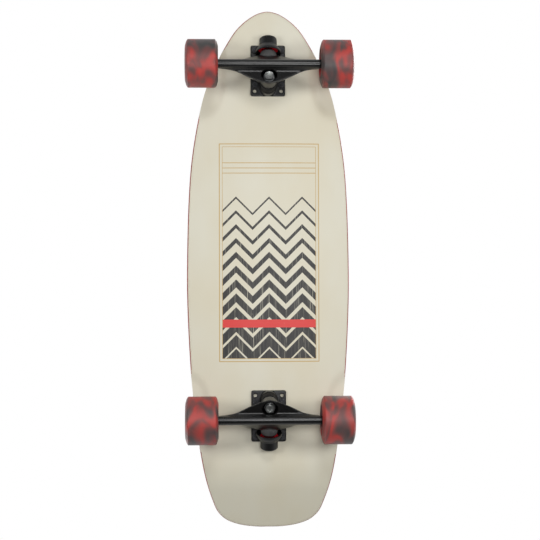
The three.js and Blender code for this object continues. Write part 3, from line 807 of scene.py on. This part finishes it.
def plan_outline():
    left = [Vector((x * DECK_HALF_LENGTH, y * DECK_HALF_WIDTH)) for x, y in OUTLINE_SHARES]
    right = [Vector((point.x, -point.y)) for point in reversed(left[1:-1])]
    return [curve_point(left + right, i / OUTLINE_SPANS) for i in range(OUTLINE_SPANS)]


outline = plan_outline()
SPINE_NOSE = DECK_HALF_LENGTH - NOSE_SPINE_INSET
SPINE_TAIL = TAIL_SPINE_INSET - DECK_HALF_LENGTH
spine = [Vector((min(SPINE_NOSE, max(SPINE_TAIL, point.x)), 0)) for point in outline]


wheel_places = {end: joint_place(f"{end}_left_roll") for end in ENDS}


def well_depth(plan):
    """How deep the wheel wells are sanded into the underside at a place"""
    deepest = 0
    for end, well in WELLS.items():
        wheel = wheel_places[end]
        along = abs(plan.x - wheel.x) / well["half_length"]
        middle_y = wheel.y - well["inside_wheel"] + well["half_width"]
        across = abs(abs(plan.y) - middle_y) / well["half_width"]
        reach = (along ** WELL_POWER + across ** WELL_POWER) ** (1 / WELL_POWER)
        inwards = (1 - reach) * well["half_width"] / WELL_RIM_WIDTH
        share = min(1, max(0, inwards))
        deepest = max(deepest, WELL_DEPTH * share * share * (3 - 2 * share))
    return deepest


def sheet_rows(edge):
    """Inset, depth and share of the way out of each ring of a sheet whose edge is (inset, depth) points"""
    outwards = [(*edge[0], ring / FACE_RINGS) for ring in range(FACE_RINGS)]
    inwards = [(*edge[-1], ring / FACE_RINGS) for ring in reversed(range(FACE_RINGS))]
    return outwards + [(*point, 1) for point in edge] + inwards


def sheet_plan(inset, share):
    """The plan of one ring"""
    plan = []
    for edge_point, spine_point in zip(outline, spine):
        reach = (edge_point - spine_point).length
        plan.append(spine_point.lerp(edge_point, share * (1 - inset / reach)))
    return plan


BOLT_HEAD_ROOM = 0.4
BOLT_HEAD_DEPTH = 3
DECK_TOP_Z = UNDERSIDE_Z + DECK_THICKNESS


def bolt_frames():
    """Each bolt's name and its frame, on the deck's top with Z up"""
    frames = {}
    for node in slot_of:
        if node.endswith("_bolt"):
            low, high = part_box(node)
            middle = (low + high) / 2 / MM
            frames[node] = Matrix.Translation((middle.x, middle.y, DECK_TOP_Z))
    return frames


def bolt_holes():
    """Cutters for the countersunk holes through the deck and the grip tape"""
    cutters = []
    for node, place in bolt_frames().items():
        reach, low, high = span(node, place)
        mouth = reach + BOLT_HEAD_ROOM
        throat = BOLT_RADIUS + BOLT_HEAD_ROOM
        rows = [
            (0, low),
            (throat, low),
            (throat, -BOLT_HEAD_DEPTH),
            (mouth, 0),
            (mouth, high + OVERRUN),
            (0, high + OVERRUN),
        ]
        cutters.append(turned(f"{node}_hole", rows, place))
    return cutters


def make_deck():
    ply_thickness = DECK_THICKNESS / PLY_COUNT
    edge = []
    for step in range(PLY_COUNT * STEPS_PER_PLY + 1):
        depth = step * ply_thickness / STEPS_PER_PLY
        into_round = max(0, DECK_EDGE_ROUND - min(depth, DECK_THICKNESS - depth))
        inset = DECK_EDGE_ROUND - math.sqrt(DECK_EDGE_ROUND ** 2 - into_round ** 2)
        edge.append((inset, depth))
    rows = sheet_rows(edge)
    wells = []
    rings = []
    for inset, depth, share in rows:
        plan = sheet_plan(inset, share)
        wells.append([well_depth(point) for point in plan])
        rings.append([deck_point(point, max(depth, well)) for point, well in zip(plan, wells[-1])])

    def look(row, i):
        if row < FACE_RINGS:
            return 0
        if row >= len(rows) - FACE_RINGS - 1:
            return 1
        middle = (rows[row][1] + rows[row + 1][1]) / 2
        if middle < max(PAINT_WRAP, wells[row][i]):
            return 0
        return 2 if int(middle / ply_thickness) in RED_PLIES else 1

    piece = lofted("deck_board", rings, look=look)
    carve(piece, *bolt_holes())
    dress(piece, "deck", PAINT, MAPLE, RED_PLY)


def make_grip():
    bottom = DECK_THICKNESS + GAP
    top = mount_of["foot_face"]["pos_m"][2] / MM - UNDERSIDE_Z
    profile = [(GRIP_INSET, bottom), (GRIP_INSET, top), (GRIP_INSET + 2 * GRIP_EDGE_ROUND, top)]
    rings = []
    for inset, depth, share in sheet_rows(rounded(profile, GRIP_EDGE_ROUND)):
        rings.append([deck_point(point, depth) for point in sheet_plan(inset, share)])
    piece = lofted("grip_sheet", rings)
    carve(piece, *bolt_holes())
    dress(piece, "grip_tape", GRIP)


# Mounting bolts and their nuts

BOLT_RADIUS = 2.4
BOLT_THREAD_LENGTH = 12
BOLT_THREAD_PITCH = 0.8
BOLT_THREAD_DEPTH = 0.35
BOLT_CROSS_RADIUS = 2.5
BOLT_CROSS_DEPTH = 1.9
BOLT_CROSS_TAPER_SHARE = 0.7
BOLT_CHAMFER = 0.35
NUT_CHAMFER = 0.6
NUT_COLLAR_SHARE = 0.28
NUT_COLLAR_WALL = 1.3
NUT_CLEARANCE = 0.1


def make_bolts():
    for node, place in bolt_frames().items():
        head, low, high = span(node, place)
        start = low + BOLT_CHAMFER
        end = low + BOLT_THREAD_LENGTH
        rows = [
            (0, low),
            (BOLT_RADIUS - BOLT_CHAMFER, low),
            *thread(BOLT_RADIUS, BOLT_THREAD_DEPTH, start, end, BOLT_THREAD_PITCH),
            (BOLT_RADIUS, -BOLT_HEAD_DEPTH),
            (head, 0),
            (head, high - BOLT_CHAMFER),
            (head - BOLT_CHAMFER, high),
            (BOLT_CROSS_RADIUS, high, cross),
            (BOLT_CROSS_RADIUS * BOLT_CROSS_TAPER_SHARE, high - BOLT_CROSS_DEPTH, cross),
            (0, high - BOLT_CROSS_DEPTH),
        ]
        dress(turned(f"{node}_screw", rows, place), node, BLACK_OXIDE)


def lock_nut(name, node, place, hole):
    """A hexagon nut with a locking ring on its outer end, which is at the top of its frame"""
    corner, low, high = span(node, place)
    flat = corner * math.cos(math.pi / 6)
    shoulder = high - (high - low) * NUT_COLLAR_SHARE
    rows = [
        (hole, low),
        (flat, low),
        (corner, low + NUT_CHAMFER, hexagon),
        (corner, shoulder - NUT_CHAMFER, hexagon),
        (flat, shoulder),
        (hole + NUT_COLLAR_WALL + NUT_CLEARANCE, shoulder),
        (hole + NUT_COLLAR_WALL, high),
        (hole, high),
    ]
    piece = turned(name, rows, place, closed=True)
    paint_where(piece, 1, place, lambda radius, height: height > high - NUT_CLEARANCE)
    return piece


def make_bolt_nuts():
    for node, bolt in bolt_frames().items():
        nut = f"{node}_nut"
        top = Matrix.Translation((0, 0, span(nut, bolt)[2]))
        place = bolt @ top @ Matrix.Rotation(math.pi, 4, "X")
        piece = lock_nut(f"{nut}_hex", nut, place, BOLT_RADIUS + NUT_CLEARANCE)
        dress(piece, nut, BLACK_OXIDE, NYLON)


# Baseplate: plate, seat boss and pivot housing, cast as one

PLATE_LENGTH = 79
PLATE_WIDTH = 54
PLATE_THICKNESS = 5
PLATE_CORNER_RADIUS = 3
PLATE_CORNER_STEPS = 6
PLATE_INSET = 2
HOLE_SPACING_ACROSS = 41.3
HOLE_SPACING_LONG = 63.5
HOLE_SPACING_SHORT = 54
PLATE_HOLE_RADIUS = 2.7
PLATE_HOLE_CHAMFER = 0.7
SEAT_INSET = 29.7
SEAT_DROP = 18.3
SEAT_RADIUS = 12.5
SEAT_FOOT_RADIUS = 13
SEAT_FOOT_INSET = 28.3
HOUSING_MOUTH = 48
HOUSING_NECK = 60
HOUSING_END = 72
HOUSING_DOME_HEIGHT = 4
HOUSING_RADIUS = 13.6
HOUSING_MOUTH_RADIUS = 20
HOUSING_RIM_WALL = 1.5
HOUSING_FILLET = 0.6
CUP_FLANGE_RADIUS = 14.9
CUP_FLANGE_THICKNESS = 2.2
CUP_FLANGE_INSET = 6.5
CUP_RADIUS = 10.4
CUP_DEPTH = 11.2
CUP_FLOOR = 1.1
INSERT_RADIUS = 6.4
KINGPIN_RADIUS = 4.76
KINGPIN_ROOM = 0.4


def dome(radius, base, height):
    """Rows from the rim of a dome to its top"""
    rows = []
    for step in range(CURVE_STEPS):
        angle = step / CURVE_STEPS * math.pi / 2
        rows.append((radius * math.cos(angle), base + height * math.sin(angle)))
    return rows + [(0, base + height)]


def plate_form(name, place):
    half_x = PLATE_LENGTH / 2 - PLATE_CORNER_RADIUS
    half_y = PLATE_WIDTH / 2 - PLATE_CORNER_RADIUS
    corners = ((half_x, half_y), (-half_x, half_y), (-half_x, -half_y), (half_x, -half_y))
    ring = []
    for corner, (x, y) in enumerate(corners):
        for step in range(PLATE_CORNER_STEPS + 1):
            angle = (corner + step / PLATE_CORNER_STEPS) * math.pi / 2
            out_x = PLATE_CORNER_RADIUS * math.cos(angle)
            out_y = PLATE_CORNER_RADIUS * math.sin(angle)
            ring.append((x + out_x, y + out_y))
    levels = (-GAP, -GAP - PLATE_THICKNESS)
    rings = [[place @ Vector((x - PLATE_INSET, y, level)) for x, y in ring] for level in levels]
    return lofted(name, rings, capped=True)


def seat_form(name, place, steer):
    """The bushing seat: from a round foot on the plate to a face square to the kingpin"""
    foot = []
    face = []
    tilt = (place.inverted() @ steer).to_3x3().col[0]
    for i in range(TURNED_SIDES):
        angle = 2 * math.pi * i / TURNED_SIDES
        across, along = math.sin(angle), math.cos(angle)
        foot_x = SEAT_FOOT_RADIUS * along - SEAT_FOOT_INSET
        foot.append(place @ Vector((foot_x, SEAT_FOOT_RADIUS * across, -GAP - PLATE_THICKNESS / 2)))
        face_x = SEAT_RADIUS * along * tilt.x - SEAT_INSET
        face_z = SEAT_RADIUS * along * tilt.z - SEAT_DROP
        face.append(place @ Vector((face_x, SEAT_RADIUS * across, face_z)))
    return lofted(name, [face, foot], capped=True)


def housing_rows():
    rows = [(0, HOUSING_MOUTH)]
    for step in range(CURVE_STEPS + 1):
        share = step / CURVE_STEPS
        flare = (HOUSING_MOUTH_RADIUS - HOUSING_RADIUS) * (1 - share ** 2)
        rows.append((HOUSING_RADIUS + flare, HOUSING_MOUTH + (HOUSING_NECK - HOUSING_MOUTH) * share))
    return rows + dome(HOUSING_RADIUS, HOUSING_END, HOUSING_DOME_HEIGHT)


FLANGE_FACE = HOUSING_MOUTH + CUP_FLANGE_INSET
FLANGE_BACK = FLANGE_FACE + CUP_FLANGE_THICKNESS
CUP_END = FLANGE_BACK + CUP_DEPTH


def housing_room_rows():
    rim = HOUSING_MOUTH_RADIUS - HOUSING_RIM_WALL
    return [
        (0, HOUSING_MOUTH - OVERRUN),
        (rim, HOUSING_MOUTH - OVERRUN),
        (rim, HOUSING_MOUTH),
        (CUP_FLANGE_RADIUS + GAP, FLANGE_FACE),
        (CUP_FLANGE_RADIUS + GAP, FLANGE_BACK + GAP),
        (CUP_RADIUS + GAP, FLANGE_BACK + GAP),
        (CUP_RADIUS + GAP, CUP_END + GAP),
        (0, CUP_END + GAP),
    ]


def plate_hole_cutters(name, place):
    outer_pair = HOLE_SPACING_LONG / 2
    under = -GAP - PLATE_THICKNESS
    rows = [
        (0, under - OVERRUN),
        (PLATE_HOLE_RADIUS + PLATE_HOLE_CHAMFER + OVERRUN, under - OVERRUN),
        (PLATE_HOLE_RADIUS, under + PLATE_HOLE_CHAMFER),
        (PLATE_HOLE_RADIUS, OVERRUN),
        (0, OVERRUN),
    ]
    cutters = []
    for along in (outer_pair, outer_pair - HOLE_SPACING_SHORT, -outer_pair):
        for across in (1, -1):
            middle = Matrix.Translation((along - PLATE_INSET, across * HOLE_SPACING_ACROSS / 2, 0))
            cutters.append(turned(name, rows, place @ middle))
    return cutters


def make_baseplate(end):
    node = f"{end}_baseplate"
    truck = truck_frame(end)
    steer = steering_frame(end)
    pivot = pivot_frame(end)
    forms = [
        plate_form(node, truck),
        seat_form(node, truck, steer),
        turned(node, housing_rows(), pivot),
    ]
    housing = turned(node, rounded(housing_rows(), HOUSING_FILLET), pivot)
    piece = fuse(cast(f"{node}_casting", forms), housing)
    carve(piece, turned(node, rounded(housing_room_rows(), GAP), pivot))
    tip = span(f"{end}_kingpin", steer)[2] + GAP
    insert_low = span(f"{end}_kingpin_insert", steer)[1] - GAP
    bore(piece, KINGPIN_RADIUS + KINGPIN_ROOM, 0, tip, steer)
    bore(piece, INSERT_RADIUS + KINGPIN_ROOM, insert_low, tip, steer)
    bore(piece, PLATE_LENGTH, -GAP, PLATE_THICKNESS, truck)
    carve(piece, *plate_hole_cutters(node, truck))
    dress(piece, node, SATIN_BLACK)


# Pivot cup and hanger

PIVOT_RADIUS = 6.5
PIVOT_SHOULDER = 55.5
NECK_RADIUS = 12
NECK_START = 12
NECK_END = 48.6
NECK_ROOT = 36
NECK_ROOT_RADIUS = 14.5
SHEEN_START = 30
# Where the painted sheen lies on the neck, along the pivot's axis and within a radius of it
SHEEN_RADIUS = 18
NECK_FILLET = 0.8
TUBE_RADIUS = 6.9
FACE_DROP = 20.8
RING_THICKNESS = 9
RING_HOLE_RADIUS = 6.35
RING_OUTER_RADIUS = 10.8
COLLAR_RADIUS = 15.5
COLLAR_SEAT_RADIUS = 13.6
POCKET_HALF_WIDTH = 11.8
POCKET_HALF_LENGTH = 10.7
POCKET_SHIFT = 0.8
POCKET_CHAMFER = 0.8
WEB_FLOOR = 3
WEB_VALLEY_INSET = 9.3
WEB_FLANK_RISE = 4.7
WEB_FLANK_HALF = 5
INNER_WALL_LEAN = 0.49
AXLE_BORE_RADIUS = 4.45
SECTION_STEP = 1.5
CUP_FILLET = 0.5

# Sections of the hanger's body from its middle outwards: share of the way to the tube's end, inner
# edge, outer edge, drop of the outer edge and drop of the floor, from the kingpin ring's centre
HANGER_SECTIONS = (
    (0, -15.5, 38.7, 12, -4.5),
    (0.1533, -12.8, 38.2, 12.2, -4.5),
    (0.2427, -9.4, 35.6, 13.2, 2.5),
    (0.3662, -4.3, 31.4, 15.6, 9),
    (0.4744, 1, 27.2, 18, 13),
    (0.578, 5.3, 24.2, 20.5, 16),
    (0.706, 7.9, 22.3, 23, 18.2),
    (0.8494, 9.2, 21.6, 24.5, 19.4),
)


def pivot_rows(clearance):
    """The hanger's pivot, or the room for it in its cup"""
    radius = PIVOT_RADIUS + clearance
    end = CUP_END - CUP_FLOOR - GAP + clearance
    neck = (NECK_RADIUS + clearance, NECK_END)
    return [neck, (radius, PIVOT_SHOULDER), *dome(radius, end - radius, radius)]


def make_pivot_cup(end):
    node = f"{end}_pivot_cup"
    neck, shoulder, *tip = pivot_rows(GAP)
    share = (FLANGE_FACE - neck[1]) / (shoulder[1] - neck[1])
    mouth = neck[0] + (shoulder[0] - neck[0]) * share
    rows = [
        *reversed(tip),
        shoulder,
        (mouth, FLANGE_FACE),
        (CUP_FLANGE_RADIUS, FLANGE_FACE),
        (CUP_FLANGE_RADIUS, FLANGE_BACK),
        (CUP_RADIUS, FLANGE_BACK),
        (CUP_RADIUS, CUP_END),
        (0, CUP_END),
    ]
    piece = turned(f"{node}_moulding", rounded(rows, CUP_FILLET), pivot_frame(end))
    dress(piece, node, RED_CUP)


def eased(rows, at):
    """The values of a table between its rows, on a smooth curve through them"""
    last = len(rows) - 1
    i = max(k for k in range(last) if rows[k][0] <= at)
    width = rows[i + 1][0] - rows[i][0]
    part = (at - rows[i][0]) / width
    square = part ** 2
    cube = part ** 3

    def slope(k, column):
        before, after = rows[max(k - 1, 0)], rows[min(k + 1, last)]
        return (after[column] - before[column]) / (after[0] - before[0]) * width

    values = []
    for column in range(1, len(rows[0])):
        start, end = rows[i][column], rows[i + 1][column]
        leave, arrive = slope(i, column), slope(i + 1, column)
        rise = start * (2 * cube - 3 * square + 1) + end * (3 * square - 2 * cube)
        values.append(rise + leave * (cube - 2 * square + part) + arrive * (cube - square))
    return values


def hanger_form(name, steer, tube_x, tube_drop, half):
    """The hanger's body, lofted through its sections"""
    table = [(-row[0], *row[1:]) for row in reversed(HANGER_SECTIONS[1:])] + list(HANGER_SECTIONS)
    reach = HANGER_SECTIONS[-1][0]
    steps = round(2 * reach * half / SECTION_STEP)
    rings = []
    for step in range(steps + 1):
        out = min(reach, -reach + 2 * reach * step / steps)
        inner, outer, outer_drop, floor = eased(table, out)
        valley = max(tube_x - WEB_VALLEY_INSET, inner + GAP)
        flank = tube_drop + WEB_FLANK_RISE
        corners = [
            (inner, FACE_DROP),
            (valley, FACE_DROP),
            (tube_x - WEB_FLANK_HALF, flank),
            (tube_x + WEB_FLANK_HALF, flank),
            (outer, outer_drop),
            (outer, outer_drop - WEB_FLOOR),
            (tube_x + TUBE_RADIUS, floor),
            (inner + (FACE_DROP - floor) * INNER_WALL_LEAN, floor),
        ]
        rings.append([steer @ Vector((x, out * half, -drop)) for x, drop in corners])
    return lofted(name, rings, capped=True)


def hanger_casting(node, steer, pivot, axle):
    """The hanger before its holes: its body, the collar round its kingpin ring and its neck"""
    low, high = span(node, axle)[1:]
    tube = steer.inverted() @ axle.translation
    top = RING_THICKNESS / 2
    body = cast(node, [
        hanger_form(node, steer, tube.x, -tube.z, high),
        turned(node, rod(TUBE_RADIUS, low, high), axle),
        turned(node, [(0, NECK_START), (NECK_RADIUS, NECK_START), *pivot_rows(0)], pivot),
    ])
    bore(body, COLLAR_RADIUS, top, NECK_RADIUS + OVERRUN, steer)
    collar_rows = [
        (0, -FACE_DROP),
        (COLLAR_RADIUS, -FACE_DROP),
        (COLLAR_SEAT_RADIUS, -top),
        (RING_OUTER_RADIUS, top),
        (0, top),
    ]
    piece = cast(f"{node}_casting", [body, turned(node, collar_rows, steer)])
    neck_rows = [(0, NECK_ROOT), (NECK_ROOT_RADIUS, NECK_ROOT), *pivot_rows(0)]
    return fuse(piece, turned(node, rounded(neck_rows, NECK_FILLET), pivot))


def pocket_form(name, steer):
    """The oval pocket round the kingpin's head, open towards the road"""
    floor = -RING_THICKNESS / 2
    lip = POCKET_HALF_WIDTH + POCKET_CHAMFER
    rows = [
        (0, floor),
        (POCKET_HALF_WIDTH, floor),
        (POCKET_HALF_WIDTH, -FACE_DROP + POCKET_CHAMFER),
        (lip, -FACE_DROP),
        (lip + OVERRUN, -FACE_DROP - OVERRUN),
        (0, -FACE_DROP - OVERRUN),
    ]
    shifted = Matrix.Translation((-POCKET_SHIFT, 0, 0))
    oval = shifted @ Matrix.Diagonal((POCKET_HALF_LENGTH / POCKET_HALF_WIDTH, 1, 1, 1))
    return turned(name, rounded(rows, POCKET_CHAMFER), steer @ oval)


def make_hanger(end):
    node = f"{end}_hanger"
    steer = steering_frame(end)
    pivot = pivot_frame(end)
    axle = axle_frame(end)
    piece = hanger_casting(node, steer, pivot, axle)
    carve(piece, pocket_form(node, steer))
    reach = RING_THICKNESS / 2 + OVERRUN
    bore(piece, RING_HOLE_RADIUS, -reach, reach, steer)
    low, high = span(node, axle)[1:]
    bore(piece, AXLE_BORE_RADIUS, low - OVERRUN, high + OVERRUN, axle)

    # The neck gets a lighter grey, painted sheen in place of the light it would catch
    def on_painted_sheen(radius, height):
        return SHEEN_START < height < NECK_END and radius < SHEEN_RADIUS

    paint_where(piece, 1, pivot, on_painted_sheen)
    dress(piece, node, GLOSS_BLACK, NECK_PAINTED_SHEEN)


AXLE_THREAD_LENGTH = 15
AXLE_THREAD_PITCH = 1.25
AXLE_THREAD_DEPTH = 0.5
AXLE_CHAMFER = 0.8


def make_axle(end):
    node = f"{end}_axle"
    axle = axle_frame(end)
    reach, low, high = span(node, axle)
    form = (reach, AXLE_THREAD_DEPTH)
    rows = [
        (0, low),
        (reach - AXLE_CHAMFER, low),
        *thread(*form, low + AXLE_CHAMFER, low + AXLE_THREAD_LENGTH, AXLE_THREAD_PITCH),
        *thread(*form, high - AXLE_THREAD_LENGTH, high - AXLE_CHAMFER, AXLE_THREAD_PITCH),
        (reach - AXLE_CHAMFER, high),
        (0, high),
    ]
    dress(turned(f"{node}_rod", rows, axle), node, ZINC)


# Kingpin and what it carries

KINGPIN_HEAD_HEIGHT = 5
KINGPIN_CHAMFER = 0.7
KINGPIN_SOCKET_RADIUS = 4.6
KINGPIN_SOCKET_DEPTH = 3.4
BUSHING_BORE_RADIUS = 5.2
BUSHING_FILLET = 1.2
BUSHING_BULGE = 0.6
WASHER_THICKNESS = 1.6
WASHER_LIP = 0.6
WASHER_FILLET = 0.3


def make_kingpin(end):
    node = f"{end}_kingpin"
    steer = steering_frame(end)
    head, low, high = span(node, steer)
    seat = low + KINGPIN_HEAD_HEIGHT
    floor = low + KINGPIN_SOCKET_DEPTH
    rows = [
        (0, floor),
        (KINGPIN_SOCKET_RADIUS, floor, hexagon),
        (KINGPIN_SOCKET_RADIUS, low + GAP, hexagon),
        (KINGPIN_SOCKET_RADIUS + GAP, low),
        (head - KINGPIN_CHAMFER, low),
        (head, low + KINGPIN_CHAMFER),
        (head, seat),
        (KINGPIN_RADIUS, seat),
        (KINGPIN_RADIUS, high - KINGPIN_CHAMFER),
        (KINGPIN_RADIUS - KINGPIN_CHAMFER, high),
        (0, high),
    ]
    dress(turned(f"{node}_screw", rows, steer), node, STEEL)


def make_kingpin_insert(end):
    node = f"{end}_kingpin_insert"
    steer = steering_frame(end)
    reach, low, high = span(node, steer)
    rows = sleeve(KINGPIN_RADIUS + KINGPIN_ROOM, reach, low, high)
    dress(turned_ring(f"{node}_sleeve", rows, GAP, steer), node, BLACK_OXIDE)


def make_bushing(end, kind):
    node = f"{end}_{kind}_bushing"
    steer = steering_frame(end)
    reach, low, high = span(node, steer)
    rim = reach - BUSHING_BULGE
    rows = [
        (BUSHING_BORE_RADIUS, low),
        (rim, low),
        (reach, (low + high) / 2),
        (rim, high),
        (BUSHING_BORE_RADIUS, high),
    ]
    dress(turned_ring(f"{node}_moulding", rows, BUSHING_FILLET, steer), node, BLACK_RUBBER)


def make_washer(end, kind):
    """A cupped washer, its flat side away from its bushing"""
    node = f"{end}_{kind}_washer"
    steer = steering_frame(end)
    reach, low, high = span(node, steer)
    seat, towards, look = (high, -1, BLACK_OXIDE) if kind == "board" else (low, 1, ZINC)
    inner = seat + towards * WASHER_THICKNESS
    rows = [
        (BUSHING_BORE_RADIUS, seat),
        (reach, seat),
        (reach, inner + towards * WASHER_LIP),
        (reach - WASHER_LIP, inner),
        (BUSHING_BORE_RADIUS, inner),
    ]
    dress(turned_ring(f"{node}_cup", rows, WASHER_FILLET, steer), node, look)


# Wheels and what they run on, about each wheel's own middle

WHEEL_RADIUS = 36.5
WHEEL_TREAD_WIDTH = 41.4
WHEEL_LIP_RADIUS = 26.5
WHEEL_SHOULDER_INSET = 2.1
WHEEL_SHOULDER_DROP = 3
WHEEL_DISH_RADIUS = 23.5
WHEEL_DISH_FOOT_RADIUS = 15
WHEEL_DISH_SAG_SHARE = 0.22
WHEEL_BORE_RADIUS = 8.5
WHEEL_FILLET = 2.6
WHEEL_EDGE = 1.4
BEARING_SHIELD_OUTER = 9
BEARING_SHIELD_INNER = 6
BEARING_SHIELD_DEPTH = 0.5
BEARING_GROOVE_WIDTH = 0.4
BEARING_FILLET = 0.2
SWIRL_SEEDS = {"front_left": 2.3, "front_right": 7.9, "rear_left": 13.1, "rear_right": 21.7}


def wheel_rows(half, bearing_reach, bearing_low, bearing_high):
    """Half of the wheel's profile, from its bore to its tread"""
    room = bearing_reach + GAP
    recess = bearing_high + GAP
    foot = Vector((WHEEL_DISH_FOOT_RADIUS, recess))
    lip = Vector((WHEEL_DISH_RADIUS, half))
    sag = foot.lerp(lip, 0.5) + Vector((1, -1)) * (lip - foot).length * WHEEL_DISH_SAG_SHARE / 2
    return [
        (WHEEL_BORE_RADIUS, bearing_low - GAP),
        (room, bearing_low - GAP),
        (room, recess),
        tuple(foot),
        tuple(sag),
        tuple(lip),
        (WHEEL_LIP_RADIUS, half),
        (WHEEL_RADIUS - WHEEL_SHOULDER_DROP, half - WHEEL_SHOULDER_INSET),
        (WHEEL_RADIUS, WHEEL_TREAD_WIDTH / 2),
        (WHEEL_RADIUS, WHEEL_TREAD_WIDTH / 2 - WHEEL_EDGE),
    ]


def make_wheel(end, side):
    label = f"{end}_{side}"
    node = f"{label}_wheel"
    place = wheel_frame(end, side)
    half = span(node, place)[2]
    rows = wheel_rows(half, *span(f"{label}_outer_bearing", place))
    rows += [(radius, -along) for radius, along in reversed(rows)]
    look = urethane(f"{label}_urethane", place, SWIRL_SEEDS[label])
    dress(turned_ring(f"{label}_tyre", rows, WHEEL_FILLET, place), node, look)


def make_bearing(end, side, kind):
    node = f"{end}_{side}_{kind}_bearing"
    place = wheel_frame(end, side)
    reach, low, high = span(node, place)
    face, back, outwards = (high, low, 1) if kind == "outer" else (low, high, -1)
    shield = face - outwards * BEARING_SHIELD_DEPTH
    groove = shield + outwards * BEARING_SHIELD_DEPTH / 2
    middle = (BEARING_SHIELD_OUTER + BEARING_SHIELD_INNER) / 2
    rows = [
        (AXLE_BORE_RADIUS, back),
        (reach, back),
        (reach, face),
        (BEARING_SHIELD_OUTER, face),
        (BEARING_SHIELD_OUTER, shield),
        (middle + BEARING_GROOVE_WIDTH, shield),
        (middle, groove),
        (middle - BEARING_GROOVE_WIDTH, shield),
        (BEARING_SHIELD_INNER, shield),
        (BEARING_SHIELD_INNER, face),
        (AXLE_BORE_RADIUS, face),
    ]
    piece = turned_ring(f"{node}_race", rows, BEARING_FILLET, place)

    def on_shield(radius, height):
        near_face = abs(height - face) < 2 * BEARING_SHIELD_DEPTH
        return near_face and BEARING_SHIELD_INNER < radius < BEARING_SHIELD_OUTER

    paint_where(piece, 1, place, on_shield)
    dress(piece, node, STEEL, BLACK_RUBBER)


def make_speed_washer(end, side):
    node = f"{end}_{side}_speed_washer"
    place = wheel_frame(end, side)
    rows = sleeve(AXLE_BORE_RADIUS, *span(node, place))
    dress(turned_ring(f"{node}_disc", rows, WASHER_FILLET, place), node, ZINC)


def make_axle_nut(end, side):
    node = f"{end}_{side}_axle_nut"
    place = wheel_frame(end, side)
    hole = span(f"{end}_axle", place)[0] + NUT_CLEARANCE
    dress(lock_nut(f"{node}_hex", node, place, hole), node, ZINC, NYLON)


# Floor, world and lamps

FLOOR_HALF = 6000
FLOOR_FADE_START = 800
FLOOR_FADE_END = 2000
FLOOR_TONE = (0.92, 0.92, 0.91, 1)
WORLD_FILL = 0.15
LOWER_TONE = 0.12
DARK_BELOW = -0.6
WHITE_ABOVE = 0
LAMPS = (
    # name, place in metres, size in metres, power in watts
    ("nose_low", (1, 0.1, -1.45), 0.5, 6.5),
    ("middle_low", (0, 0.1, -1.25), 0.4, 5),
    ("left_low", (0.15, 0.95, -1.35), 0.5, 6.5),
    ("right_low", (0.15, -0.95, -1.35), 0.5, 6.5),
    ("top_key", (1.2, 1.4, 2.2), 1.6, 60),
    ("top_fill", (-1.6, -1.6, 1.6), 1.8, 20),
)
LAMP_AIM = (0, 0, 0.06)


def make_floor():
    """A pale floor that fades out with distance and that doesn't hide the board from below"""
    corners = [(x * FLOOR_HALF, y * FLOOR_HALF, 0) for x, y in ((-1, -1), (1, -1), (1, 1), (-1, 1))]
    mesh = bpy.data.meshes.new("floor")
    mesh.from_pydata([Vector(corner) * MM for corner in corners], [], [(0, 1, 2, 3)])
    floor = add_object("floor", mesh)
    look = Look("floor", base_color=FLOOR_TONE, roughness=0.9, specular_ior_level=0)
    camera_ray = look.add("ShaderNodeLightPath").outputs["Is Camera Ray"]
    from_below = look.add("ShaderNodeNewGeometry").outputs["Backfacing"]
    reach = look.add("ShaderNodeVectorMath", {0: look.place()}, operation="LENGTH").outputs["Value"]
    near = look.remap(reach, FLOOR_FADE_START, FLOOR_FADE_END, 1, 0)
    shown = look.times(look.math("SUBTRACT", 1, from_below), near, camera_ray)
    clear = look.add("ShaderNodeBsdfTransparent").outputs[0]
    both = look.add("ShaderNodeMixShader", {0: shown, 1: clear, 2: look.surface.outputs[0]})
    look.feed(look.tree.nodes["Material Output"].inputs["Surface"], both.outputs[0])
    mesh.materials.append(look.material)
    floor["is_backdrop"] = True


def make_world():
    """White to the camera, white to dark from the horizon down in reflections, and a soft light"""
    world = bpy.data.worlds.new("studio")
    bpy.context.scene.world = world
    world.use_nodes = True
    nodes = Nodes(world.node_tree)
    rays = nodes.add("ShaderNodeLightPath").outputs
    camera_ray = rays["Is Camera Ray"]
    seen = nodes.math("MAXIMUM", camera_ray, rays["Is Glossy Ray"])
    seen = nodes.math("MAXIMUM", seen, rays["Is Transmission Ray"])
    direction = nodes.add("ShaderNodeTexCoord").outputs["Generated"]
    height = nodes.add("ShaderNodeSeparateXYZ", {0: direction}).outputs["Z"]
    reflected = nodes.remap(height, DARK_BELOW, WHITE_ABOVE, LOWER_TONE, 1)
    shown = nodes.math("MAXIMUM", reflected, camera_ray)
    background = nodes.tree.nodes["Background"].inputs
    nodes.feed(background["Color"], (1, 1, 1, 1))
    nodes.feed(background["Strength"], nodes.remap(seen, 0, 1, WORLD_FILL, shown))


def make_lamps():
    for name, place, size, power in LAMPS:
        data = bpy.data.lights.new(name, "AREA")
        data.shape = "DISK"
        data.size = size
        data.energy = power
        lamp = bpy.data.objects.new(name, data)
        bpy.context.scene.collection.objects.link(lamp)
        lamp.location = place
        lamp.rotation_euler = (Vector(LAMP_AIM) - Vector(place)).to_track_quat("-Z", "Y").to_euler()


bpy.context.scene.view_settings.view_transform = "Standard"
make_camera()
make_world()
make_floor()
make_lamps()
make_deck()
make_grip()
make_bolts()
make_bolt_nuts()
for end in ENDS:
    make_baseplate(end)
    make_pivot_cup(end)
    make_hanger(end)
    make_axle(end)
    make_kingpin(end)
    make_kingpin_insert(end)
    for kind in ("board", "road"):
        make_bushing(end, kind)
        make_washer(end, kind)
    for side in SIDES:
        make_wheel(end, side)
        for kind in ("outer", "inner"):
            make_bearing(end, side, kind)
        make_speed_washer(end, side)
        make_axle_nut(end, side)

boxes = {"cad": cad_box, "visual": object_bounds()}
{name: [list(corner) for corner in box] for name, box in boxes.items()}
